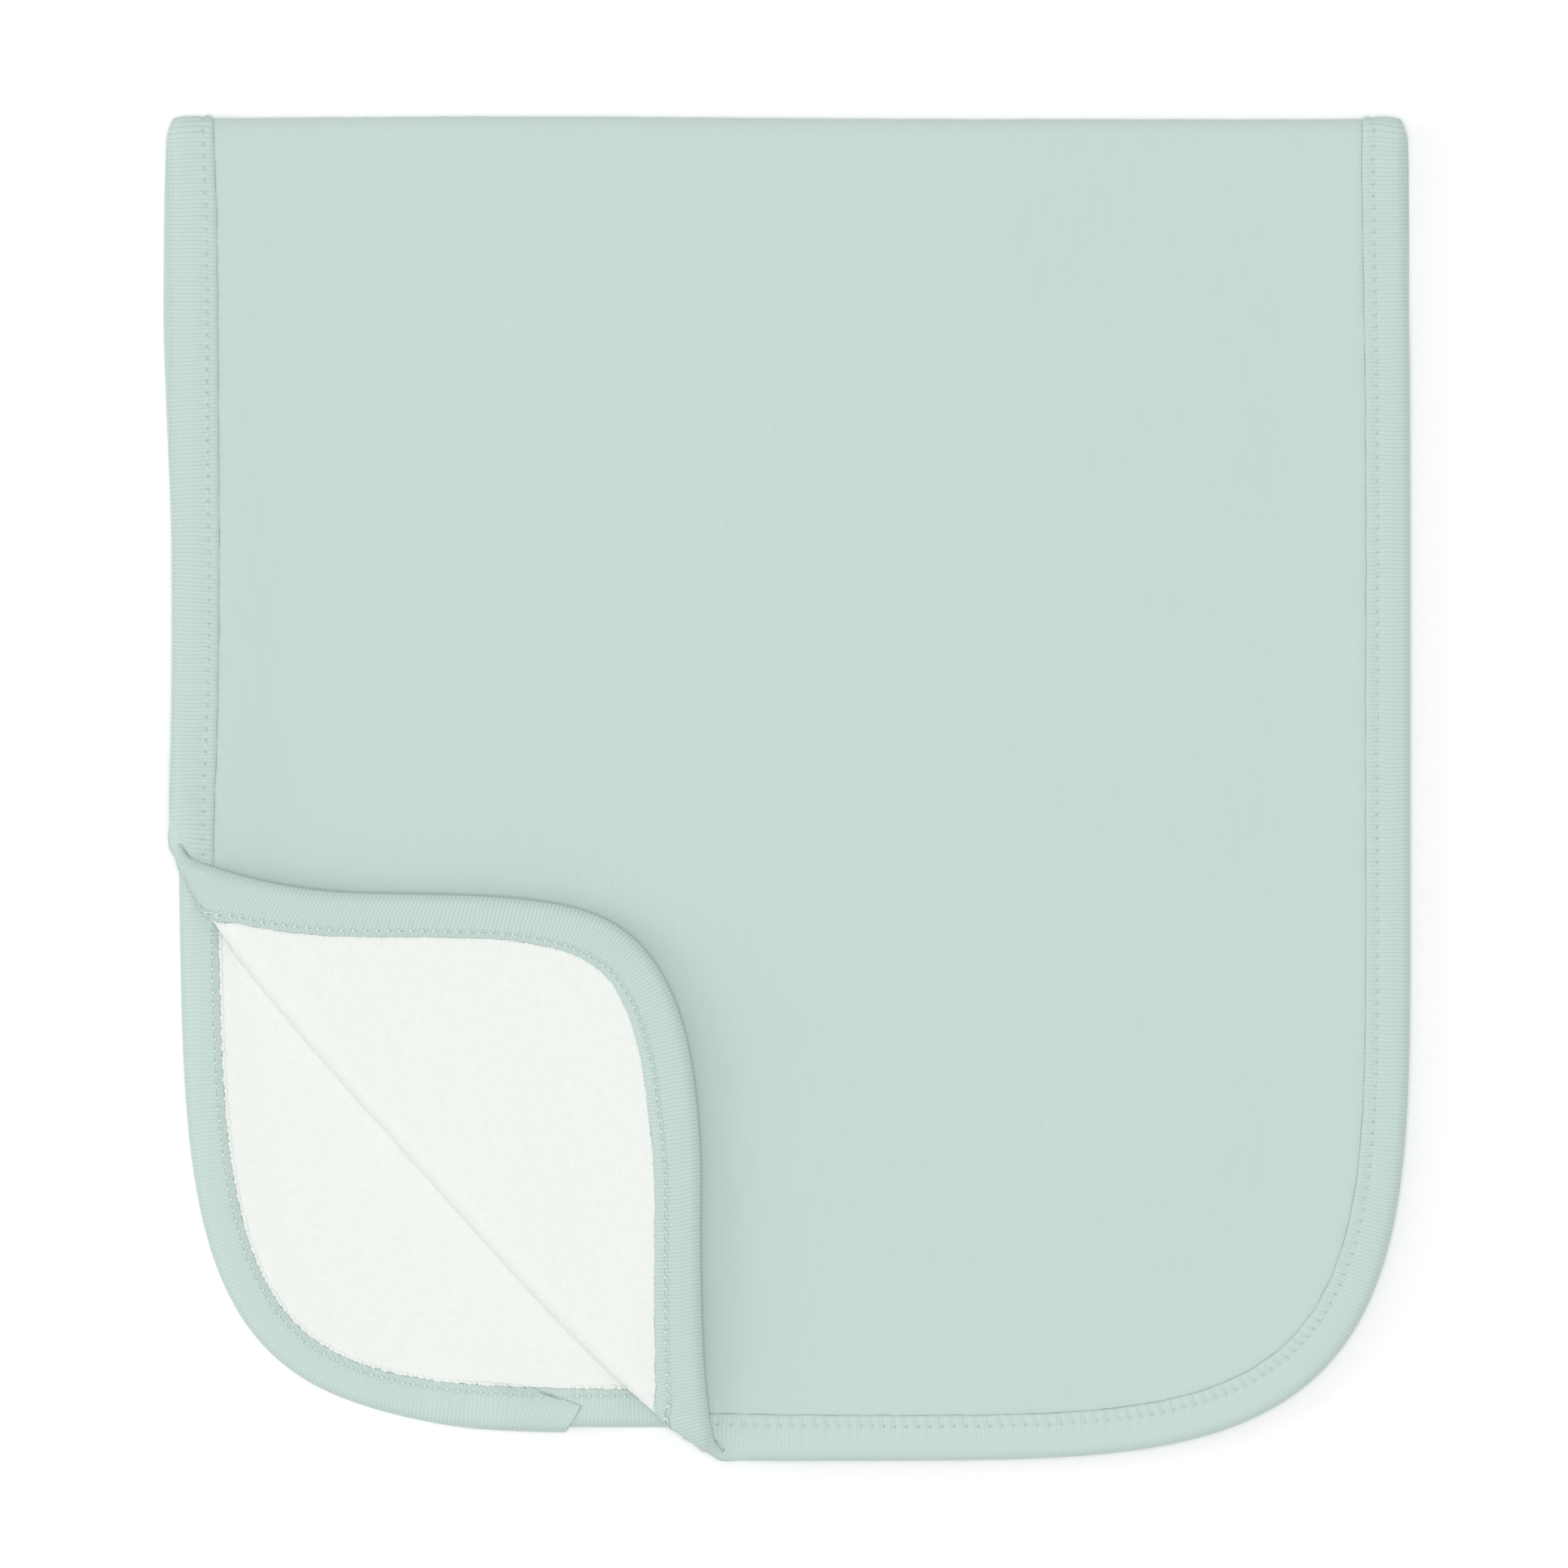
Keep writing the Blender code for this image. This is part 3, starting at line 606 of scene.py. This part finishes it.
def tape_material(colour, hole_shade_colour, rib, stitch):
    """Rib-knit cotton tape: matt, with shade painted into the furrow beside each rib and into the needle holes.
    """
    material, tree, shader = new_material("Mint rib-knit tape", 0.85, 0.12)
    place = add_node(tree, "ShaderNodeUVMap", uv_map="flat").outputs["UV"]
    at = add_node(tree, "ShaderNodeSeparateXYZ", {"Vector": place})
    furrow = maths(tree, "COSINE", maths(tree, "MULTIPLY", at.outputs["X"], 2 * math.pi / (rib * MM)))
    grain = noise_on(tree, place, (0.3, 0.5), 3.0)
    bump = add_node(tree, "ShaderNodeBump", {"Height": grain, "Strength": 1.0, "Distance": 0.05 * MM})
    tree.links.new(bump.outputs["Normal"], shader.inputs["Normal"])
    strength = add_node(tree, "ShaderNodeAttribute", attribute_name="rib_relief_and_painted_shade").outputs["Fac"]
    # Shade painted into the furrows between the ribs, with a little painted light on the ribs' tops, as strong as
    # the ribs.
    shade = maths(tree, "MULTIPLY", between(tree, furrow, 1.0, 0.0, -1.0, -0.35), strength)
    tone = mixed(tree, shade, darker(colour, 1.02), darker(colour, 0.88))
    # Dark dots at each needle hole: shade painted where the thread goes into the tape.
    turn = maths(tree, "MULTIPLY", at.outputs["X"], 1 / (stitch * MM))
    beside = maths(tree, "PINGPONG", turn, 0.5)
    beside = maths(tree, "MULTIPLY", beside, stitch / 0.3)
    off = maths(tree, "SUBTRACT", at.outputs["Y"], NEEDLE_INSET * MM)
    off = maths(tree, "MULTIPLY", off, 1 / (0.34 * MM))
    squares = [maths(tree, "MULTIPLY", side, side) for side in (beside, off)]
    reach = maths(tree, "SQRT", maths(tree, "ADD", *squares))
    hole_shade = between(tree, reach, 1.0, 0.0, 0.55, 1.15)
    tree.links.new(mixed(tree, hole_shade, tone, hole_shade_colour), shader.inputs["Base Color"])
    return material


def thread_material(name, colour):
    """Spun polyester sewing thread, dyed to match: a little smoother and brighter than the tape."""
    material, tree, shader = new_material(name, 0.6, 0.1)
    place = add_node(tree, "ShaderNodeTexCoord").outputs["Object"]
    twist = noise_on(tree, place, (0.3, 0.3))
    tone = mixed(tree, twist, darker(colour, 0.93), darker(colour, 1.04))
    tree.links.new(tone, shader.inputs["Base Color"])
    return material


def floor_material(colour):
    """Matt white paper: even and without gloss."""
    material, tree, shader = new_material("Matt white paper", 1.0, 0.0)
    place = add_node(tree, "ShaderNodeTexCoord").outputs["Object"]
    tone = mixed(tree, noise_on(tree, place, (90.0, 90.0)), colour, darker(colour, 0.995))
    tree.links.new(tone, shader.inputs["Base Color"])
    return material


# The two panels


def fine_lining(flat):
    """Where the lining shows: on the turned corner, and on the back beside it."""
    way, past = from_crease(flat)
    on_flap = (flat[:, 1] < -FOLD_ARC) & (past > 0)
    x, y, _ = lay(flat, np.zeros(len(flat)), np.full(len(flat), TAPE_OUTSIDE)).T
    offset = np.stack([x, y], axis=-1) - CREASE_START
    below_crease = offset @ CREASE_ACROSS > -NET_STEP
    return on_flap | ((flat[:, 1] > FOLD_ARC) & below_crease)


def staggered(step, low, high):
    """Points in staggered rows over a box."""
    rows = np.arange(low[1], high[1], step * math.sin(math.pi / 3))
    made = []
    for k, y in enumerate(rows):
        x = np.arange(low[0] + step / 2 * (k % 2), high[0], step)
        made.append(np.stack([x, np.full_like(x, y)], axis=-1))
    return np.concatenate(made)


def roll_points():
    """Points in close rows along the fold and along the crease."""
    made = []
    x = np.arange(-117.0, 117.1, ROLL_ROW_STEP)
    for level in np.linspace(-FOLD_ARC / 2 - ROLL_MARGIN, FOLD_ARC / 2 + ROLL_MARGIN, 17):
        made.append(np.stack([x, np.full_like(x, level)], axis=-1))
    way = np.arange(-9.0, CREASE_LENGTH + 9.0, ROLL_ROW_STEP)
    for level in np.linspace(-ROLL_MARGIN, CREASE_ARC + ROLL_MARGIN, 20):
        plan = CREASE_START + way[:, None] * CREASE_ALONG
        plan = plan + (crease_axis(way) + level)[:, None] * CREASE_ACROSS
        made.append(flat_from_front(*plan.T))
    return np.concatenate(made)


def near_roll(flat, margin):
    way, past = from_crease(flat)
    on_crease = (flat[:, 1] < -FOLD_ARC) & (past > -margin) & (past < CREASE_ARC + margin)
    return on_crease | (np.abs(flat[:, 1]) < FOLD_ARC / 2 + margin)


def ring_places():
    """Places along the edge, closer together where the cloth rolls over."""
    samples = np.arange(len(EDGE.loop)) * EDGE_SAMPLE
    rolls = near_roll(EDGE.loop, ROLL_MARGIN) | near_roll(EDGE.points(samples, RINGS[-1]), ROLL_MARGIN)
    steps = EDGE_SAMPLE / np.where(rolls, RING_ROLL_STEP, RING_STEP)
    total = np.concatenate([[0], np.cumsum(steps)])
    wanted = np.linspace(0, total[-1], round(total[-1]), endpoint=False)
    return np.interp(wanted, total, np.arange(len(total)) * EDGE_SAMPLE)


def panel_net(fine):
    """The flat cloth as triangles: its points, the triangles and each point's inset."""
    places = ring_places()
    count = len(places)
    rings = [EDGE.points(places, inset) for inset in RINGS]
    links = [(i, (i + 1) % count) for i in range(count)]
    low, high = EDGE.loop.min(axis=0), EDGE.loop.max(axis=0)
    coarse = staggered(NET_STEP, low, high)
    coarse = coarse[~near_roll(coarse, ROLL_MARGIN + 0.5)]
    inner = [roll_points(), coarse]
    if fine is not None:
        close = staggered(FINE_NET_STEP, low, high)
        close = close[~near_roll(close, ROLL_MARGIN + 0.5)]
        inner = [roll_points(), coarse[~fine(coarse)], close[fine(close)]]
    inner = np.concatenate(inner)
    inner = inner[EDGE.inset_of(inner) > RINGS[-1] + RING_CLEAR]
    points = np.concatenate([*rings, inner])
    net = delaunay_2d_cdt([Vector(point) for point in points], links, [], 1, 1e-5)
    points = np.array([point[:] for point in net[0]])
    return points, net[2], np.maximum(EDGE.inset_of(points), PLY_EDGE)


def add_panel(name, side, fine, swell, lumps, material):
    """A ply on one side of the cloth's middle: 1 is the jersey's side and -1 the lining's."""
    points, triangles, inset = panel_net(fine)
    free = ease((inset - swell[0]) / (swell[1] - swell[0]))
    thickness = PRESSED_PLY + (PLY - PRESSED_PLY) * free
    for length, height, reach in lumps:
        near_seam = 1.0 if reach is None else np.exp(-np.maximum(inset - swell[1], 0.0) / reach)
        thickness = thickness + height * near_seam * free * uneven(points, length, round(10 * length))
    near = lay(points, np.full(len(points), side * PLY_GAP / 2), inset)
    far = lay(points, side * (PLY_GAP / 2 + thickness), inset)
    count = len(points)
    steps = {(a, b) for a, b, c in triangles} | {(b, c) for a, b, c in triangles}
    steps |= {(c, a) for a, b, c in triangles}
    rim = [(b, a, a + count, b + count) for a, b in sorted(steps) if (b, a) not in steps]
    far_faces = [tuple(i + count for i in triangle) for triangle in triangles]
    near_faces = [tuple(triangle[::-1]) for triangle in triangles]
    both = np.concatenate([near, far])
    faces = closed_outwards(both, [*near_faces, *far_faces, *rim])
    return add_piece(name, both, faces, np.concatenate([points, points]), material)


# The tape and its sewing


def tape_surface(places, inset, depth):
    """Flat points and depths of the tape, with the upper end a size larger than the lower."""
    lapped = EDGE.lapped(places)
    reach = np.interp(inset, LAP_POINT_INSETS, LAP_POINT_REACH)
    last = ease(1 - (EDGE.length + EDGE.lap - places) / LAP_POINT_LENGTH)
    places = places + reach * last
    grown = LAP_EDGE_GROWTH * ease(1 - (EDGE.length - places) / LAP_GROWTH_LENGTH)
    inset = inset - grown * np.clip(1 - (inset - 1.4) / 3.0, 0.0, 1.0)
    hugging = 1 - LAP_HUG * ease((inset - 6.8) / 1.2) * (depth < 0)
    thin = 1 - LAP_THINNING * ease(1 - (EDGE.length + EDGE.lap - places) / LAP_POINT_LENGTH)
    depth = depth + np.sign(depth) * LAP_LIFT * lapped * hugging * thin
    return lay(EDGE.points(places, inset), depth, inset)


def width_change(places):
    """How much wider than usual the tape is, in mm."""
    across = EDGE.points(places, 0.0)[:, 0]
    steady = -TAPE_NARROWER * ease((across + 90.0) / 180.0) + 0.1 * uneven(places[:, None], 90.0, 5)
    return steady + 0.06 * uneven(places[:, None], 9.0, 6)


def lining_width_change(places):
    """The same on the lining's side."""
    flat = EDGE.points(places, 0.0)
    on_back = ease(flat[:, 1] / FOLD_ARC + 0.5)
    way, past = from_crease(flat)
    ways, widths = zip(*FLAP_TAPE_WIDER)
    wider = np.interp(way, ways, widths) * ease(past / CREASE_ARC)
    return width_change(places) / 2 + wider * (1 - on_back) - BACK_TAPE_NARROWER * on_back


def rib_slant(places):
    """How far a rib leans back along the edge for each mm that it runs over the tape."""
    way, past = from_crease(EDGE.points(places, 0.0))
    on_front = EDGE.points(places, 0.0)[:, 1] < -FOLD_ARC
    ways, slants = zip(*RIB_SLANT)
    turned = np.where(on_front, ease(past / CREASE_ARC), 0.0)
    return np.interp(way, ways, slants) * turned + 0.05 * uneven(places[:, None], 60.0, 9)


def rib_relief_and_painted_shade(places):
    """How strongly the ribs show along the edge, against the front's left side: the height of their relief and of
    the shade painted in their furrows.
    """
    flat = EDGE.points(places, 0.0)
    across, along = flat.T
    front = 1 - RIB_LOSS_RIGHT * ease((across + 90.0) / 180.0)
    front = front - RIB_LOSS_BELOW * ease((-along - 215.0) / 35.0)
    _, past = from_crease(flat)
    front = front + (RIB_TURNED - front) * ease(past / CREASE_ARC) * (along < -FOLD_ARC)
    return front + (RIB_BACK - front) * ease(along / FOLD_ARC + 0.5)


def tape_end(size):
    """The cut across the folded tape: a fan over each leaf of it, from the corner inside its fold."""
    fold = int(np.argmin([inset for inset, *_ in TAPE_ROWS]))
    above = [(size - 1, i, i + 1) for i in range(fold)]
    below = [(size - 2, i, i + 1) for i in range(fold, size - 3)]
    return [*above, (size - 1, fold, size - 2), *below]


def add_tape(name, rib, rib_height, stitch, pucker_height, material):
    """The binding: one strip, from its under end round to its upper end."""
    rows = np.array(TAPE_ROWS)
    size = len(rows)
    total = EDGE.length + EDGE.lap
    places = np.arange(0.0, total, rib / SAMPLES_A_RIB)
    count = len(places)
    ribs = np.cos(2 * math.pi * places / rib)
    puckers = -np.cos(2 * math.pi * places / stitch)
    change = width_change(places)
    ragged = np.where(EDGE.points(places, 0.0)[:, 1] < 0, 0.04, 0.1)
    lining_change = lining_width_change(places) + uneven(places[:, None], 3.4, 7) * ragged
    at = np.repeat(places, size)
    inset, depth, rib_share, pucker_share = (np.tile(column, count) for column in rows.T)
    mint_side = depth > 0
    widen = np.where(mint_side, np.repeat(change, size), np.repeat(lining_change, size))
    flat_inset = inset.copy()
    inset = inset + widen * ease((inset - TAPE_GRIP) / 2.0)
    strength = rib_relief_and_painted_shade(places)
    relief = rib_height / 2 * rib_share * np.repeat(ribs * strength, size)
    relief = relief + pucker_height / 2 * pucker_share * np.repeat(puckers, size)
    depth = depth + np.sign(depth) * relief
    inset = inset - np.where(np.abs(rows[:, 1][np.tile(np.arange(size), count)]) < 0.5, relief, 0.0)
    over = flat_inset * np.sign(depth)
    wavy = uneven(np.stack([at, 4 * over], axis=-1), 26.0, 8) * 0.25
    slant = np.repeat(rib_slant(places), size) * over
    points = tape_surface(at + wavy * ease(flat_inset / 4) - slant, inset, depth)
    end = tape_end(size)
    faces = end + [tuple((count - 1) * size + i for i in face[::-1]) for face in end]
    for k in range(count - 1):
        low, high = k * size, (k + 1) * size
        for i in range(size):
            after = (i + 1) % size
            faces.append((low + i, high + i, high + after, low + after))
    flat = np.stack([at, np.sign(depth) * flat_inset], axis=-1)
    made = add_piece(name, points, closed_outwards(points, faces), flat, material)
    # The ribs' strength is kept for the material, which paints shade into their furrows by it.
    shown = made.data.attributes.new("rib_relief_and_painted_shade", "FLOAT", "POINT")
    shown.data.foreach_set("value", np.repeat(strength, size).astype(np.float32))
    return made


def sewn(name, shape, places, inset, depth, material, growth):
    """A stitch repeated along the tape. Its X runs along the edge, its Y inwards and its Z out of the tape."""
    points, faces = shape
    size, count = len(points), len(places)
    along, in_from, out = (np.tile(column, count) * np.repeat(growth, size) for column in points.T)
    at, inset = np.repeat(places, size), np.repeat(inset, size)
    change = width_change(at) if depth > 0 else lining_width_change(at)
    laid = tape_surface(at + along, inset + change + in_from, depth + math.copysign(1.0, depth) * out)
    faces = closed_outwards(laid, repeated(faces, size, count))
    flat = np.stack([at + along, inset + in_from], axis=-1)
    return add_piece(name, laid, faces, flat, material)


def needle_stitch(length, thickness):
    """One straight stitch: a short thread that dips into the cloth at both ends."""
    shape = modelled(bpy.ops.mesh.primitive_uv_sphere_add, segments=8, ring_count=6, radius=thickness / 2)
    bpy.ops.object.mode_set(mode="EDIT")
    bpy.ops.transform.resize(value=(length / thickness, 1.0, 0.8))
    bpy.ops.object.mode_set(mode="OBJECT")
    points, faces = taken_apart(shape)
    half = length / MM / 2
    points[:, 2] -= 0.16 * (points[:, 0] / half) ** 2
    return points, faces


def chain_link(length, width, thickness):
    """One loop of a chain stitch, drawn in at the end where the next loop holds it."""
    radius = width / 2 - thickness / 2
    shape = modelled(
        bpy.ops.mesh.primitive_torus_add,
        major_segments=12,
        minor_segments=5,
        major_radius=radius,
        minor_radius=thickness / 2,
    )
    bpy.ops.object.mode_set(mode="EDIT")
    bpy.ops.transform.resize(value=((length - thickness) / 2 / radius, 1.0, 1.0))
    bpy.ops.object.mode_set(mode="OBJECT")
    points, faces = taken_apart(shape)
    share = points[:, 0] / (length / MM / 2)
    points[:, 1] *= 0.78 + 0.30 * share
    points[:, 2] += 0.10 * share
    return points, faces


def pile_tuft(size):
    """One tuft of terry loops: a low lump, a little longer along the seam."""
    shape = modelled(bpy.ops.mesh.primitive_uv_sphere_add, segments=7, ring_count=5, radius=size / 2)
    bpy.ops.object.mode_set(mode="EDIT")
    bpy.ops.transform.resize(value=(1.4, 1.0, 0.5))
    bpy.ops.object.mode_set(mode="OBJECT")
    return taken_apart(shape)


def once_round(step):
    """Places one step apart, once round the edge, over the lap."""
    start = EDGE.lap + step / 2
    return start + np.arange(round((EDGE.length - step) / step)) * step


# The add-on


def length_property(name, description, default):
    return bpy.props.FloatProperty(
        name=name, description=description, default=default * MM, min=0.0, unit="LENGTH", precision=5
    )


def colour_property(name, description, default):
    return bpy.props.FloatVectorProperty(
        name=name, description=description, default=linear(default), min=0.0, max=1.0, subtype="COLOR"
    )


class PanelSettings(bpy.types.PropertyGroup):
    """The two panels."""

    jersey: colour_property("Jersey", "Colour of the outer panel", "bfcfca")
    terry: colour_property("Terry", "Colour of the lining", "e6e9e5")
    tuft_size: length_property("Tuft size", "Width of a tuft of pile at the seam", 0.9)


class TapeSettings(bpy.types.PropertyGroup):
    """The rib tape and its sewing."""

    colour: colour_property("Tape", "Colour of the rib tape", "bed0ca")
    # The needle holes' colour is painted shade, for the dark inside each hole.
    holes: colour_property("Needle holes", "Colour in the needle holes", "a2b9b1")
    needle_thread: colour_property("Needle thread", "Colour of the thread on the mint side", "c5d8d2")
    chain_thread: colour_property("Chain thread", "Colour of the thread on the lining's side", "cbdcd6")
    rib: length_property("Rib", "From one rib of the tape to the next", 0.78)
    rib_height: length_property("Rib height", "How far a rib stands above its furrow", 0.15)
    stitch: length_property("Stitch", "From one stitch to the next", 2.29)
    pucker: length_property("Pucker", "How far the tape bulges between two stitches", 0.16)
    thread_thickness: length_property("Thread thickness", "Thickness of the sewing thread", 0.3)
    chain_width: length_property("Chain width", "Width of the chain stitch on the lining's side", 1.1)


class StageSettings(bpy.types.PropertyGroup):
    """The floor, the light and the camera."""

    floor: colour_property("Floor", "Colour of the floor", "fcfcfc")
    floor_size: length_property("Floor size", "Side of the square floor", 4000.0)
    sky: bpy.props.FloatProperty(name="Sky", description="Brightness of the light all round", default=0.67)
    key: bpy.props.FloatProperty(
        name="Key", description="Power of the soft light at the left", default=11.0, unit="POWER"
    )
    overhead: bpy.props.FloatProperty(
        name="Overhead", description="Power of the soft light above", default=28.0, unit="POWER"
    )
    lens: bpy.props.FloatProperty(name="Lens", description="Focal length", default=300.0, unit="CAMERA")
    view_width: length_property("View", "Width that the camera sees", 302.07)


def add_lamp(context, name, location, width, power):
    """A round soft light that faces the cloth."""
    lamp = bpy.data.lights.new(name, "AREA")
    lamp.shape = "DISK"
    lamp.size = width
    lamp.energy = power
    made = bpy.data.objects.new(name, lamp)
    made.location = location
    made.rotation_euler = (-made.location).to_track_quat("-Z", "Y").to_euler()
    context.scene.collection.objects.link(made)


def settle(piece):
    """Every piece lies on the one body."""
    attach(piece, "root")


class AddOuterJersey(bpy.types.Operator):
    """Add the mint jersey panel"""

    bl_idname = "burp_cloth.add_outer_jersey"
    bl_label = "Outer jersey"

    def execute(self, context):
        settings = context.scene.burp_cloth_panels
        material = jersey_material(tuple(settings.jersey))
        lumps = [(7.0, 0.05, None), (6.0, 0.09, 3.5)]
        piece = add_panel("outer_jersey", 1, None, JERSEY_SWELL, lumps, material)
        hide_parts("outer_panel")
        settle(piece)
        return {"FINISHED"}


class AddLiningTerry(bpy.types.Operator):
    """Add the white terry lining"""

    bl_idname = "burp_cloth.add_lining_terry"
    bl_label = "Lining terry"

    def execute(self, context):
        settings = context.scene.burp_cloth_panels
        material = terry_material(tuple(settings.terry))
        lumps = [(9.0, 0.05, None), (3.6, 0.035, None), (6.0, 0.06, 4.0)]
        piece = add_panel("lining_terry", -1, fine_lining, LINING_SWELL, lumps, material)
        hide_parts("lining_panel")
        settle(piece)
        return {"FINISHED"}


class AddRibTape(bpy.types.Operator):
    """Add the rib tape with its needle stitches and its chain stitches"""

    bl_idname = "burp_cloth.add_rib_tape"
    bl_label = "Rib tape"

    def execute(self, context):
        settings = context.scene.burp_cloth_tape
        rib, stitch = settings.rib / MM, settings.stitch / MM
        colour, holes = tuple(settings.colour), tuple(settings.holes)
        material = tape_material(colour, holes, rib, stitch)
        piece = add_tape(
            "rib_tape", rib, settings.rib_height / MM, stitch, settings.pucker / MM, material
        )
        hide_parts("binding")
        settle(piece)
        needle_thread = thread_material("Mint needle thread", tuple(settings.needle_thread))
        chain_thread = thread_material("Mint looper thread", tuple(settings.chain_thread))
        thickness = settings.thread_thickness
        straight = needle_stitch(settings.stitch * 0.84, thickness)
        places = once_round(stitch)
        here = np.ones(len(places))
        needle = sewn("needle_stitches", straight, places, NEEDLE_INSET * here, NEEDLE_DEPTH, needle_thread, here)
        loop = chain_link(settings.stitch * 1.2, settings.chain_width, thickness * 0.85)
        flat = EDGE.points(places, 0.0)
        way, _ = from_crease(flat)
        ways, insets = zip(*CHAIN_INSET_FRONT)
        inset = np.where(flat[:, 1] < 0, np.interp(way, ways, insets), CHAIN_INSET_BACK)
        chain = sewn("chain_stitches", loop, places, inset, CHAIN_DEPTH, chain_thread, here)
        for sewing in (needle, chain):
            settle(sewing)
        return {"FINISHED"}


class AddPileTufts(bpy.types.Operator):
    """Add the tufts of pile that stand over the tape's edge on the lining's side"""

    bl_idname = "burp_cloth.add_pile_tufts"
    bl_label = "Pile tufts"

    def execute(self, context):
        settings = context.scene.burp_cloth_panels
        chance = np.random.default_rng(21)
        places = once_round(settings.tuft_size / MM)
        places = places + chance.uniform(-0.3, 0.3, len(places))
        inset = TUFT_INSET + TUFT_STRAY * uneven(places[:, None], 2.6, 22)
        growth = chance.uniform(0.75, 1.15, len(places))
        on_front = EDGE.points(places, 0.0)[:, 1] < 0
        growth = growth * np.where(on_front, FLAP_TUFTS, 1.0)
        material = terry_material(tuple(settings.terry))
        shape = pile_tuft(settings.tuft_size)
        tufts = sewn("pile_tufts", shape, places, inset, TUFT_DEPTH, material, growth)
        settle(tufts)
        return {"FINISHED"}


class AddStage(bpy.types.Operator):
    """Add the floor, the light and the camera"""

    bl_idname = "burp_cloth.add_stage"
    bl_label = "Stage"

    def execute(self, context):
        settings = context.scene.burp_cloth_stage
        below = -FLOOR_BELOW * MM
        floor = modelled(bpy.ops.mesh.primitive_plane_add, size=settings.floor_size, location=(0, 0, below))
        floor.name = "floor"
        bpy.ops.object.transform_apply(location=True, rotation=True, scale=True)
        floor.data.materials.append(floor_material(tuple(settings.floor)))

        world = bpy.data.worlds.new("Soft white sky")
        world.use_nodes = True
        sky = world.node_tree.nodes["Background"]
        sky.inputs["Color"].default_value = (1.0, 1.0, 1.0, 1.0)
        sky.inputs["Strength"].default_value = settings.sky
        context.scene.world = world

        add_lamp(context, "Key light", (-2.2, 0.1, 1.0), 1.4, settings.key)
        add_lamp(context, "Overhead light", (0.0, -0.05, 2.7), 0.8, settings.overhead)

        lens = bpy.data.cameras.new("Camera")
        lens.lens = settings.lens
        camera = bpy.data.objects.new("Camera", lens)
        distance = settings.view_width * lens.lens / lens.sensor_width
        camera.location = (-0.00047, 0.00086, 0.005 + distance)
        context.scene.collection.objects.link(camera)
        context.scene.camera = camera
        context.scene.view_settings.view_transform = "Standard"
        return {"FINISHED"}


class BurpClothPanel(bpy.types.Panel):
    """Lists the cloth's pieces and its stage"""

    bl_idname = "VIEW3D_PT_burp_cloth"
    bl_label = "Burp cloth"
    bl_space_type = "VIEW_3D"
    bl_region_type = "UI"
    bl_category = "Burp cloth"

    def draw(self, context):
        for kind in ADDERS:
            self.layout.operator(kind.bl_idname)
        for group in SETTINGS:
            settings = getattr(context.scene, group)
            for name in settings.bl_rna.properties.keys():
                if name not in ("rna_type", "name"):
                    self.layout.prop(settings, name)


ADDERS = (AddOuterJersey, AddLiningTerry, AddRibTape, AddPileTufts, AddStage)
SETTINGS = {
    "burp_cloth_panels": PanelSettings,
    "burp_cloth_tape": TapeSettings,
    "burp_cloth_stage": StageSettings,
}
CLASSES = (*SETTINGS.values(), *ADDERS, BurpClothPanel)


def register():
    for kind in CLASSES:
        bpy.utils.register_class(kind)
    for name, kind in SETTINGS.items():
        setattr(bpy.types.Scene, name, bpy.props.PointerProperty(type=kind))


def unregister():
    for name in SETTINGS:
        delattr(bpy.types.Scene, name)
    for kind in reversed(CLASSES):
        bpy.utils.unregister_class(kind)


def main():
    register()
    bpy.ops.burp_cloth.add_outer_jersey()
    bpy.ops.burp_cloth.add_lining_terry()
    bpy.ops.burp_cloth.add_rib_tape()
    bpy.ops.burp_cloth.add_pile_tufts()
    bpy.ops.burp_cloth.add_stage()


if __name__ == "__main__":
    main()
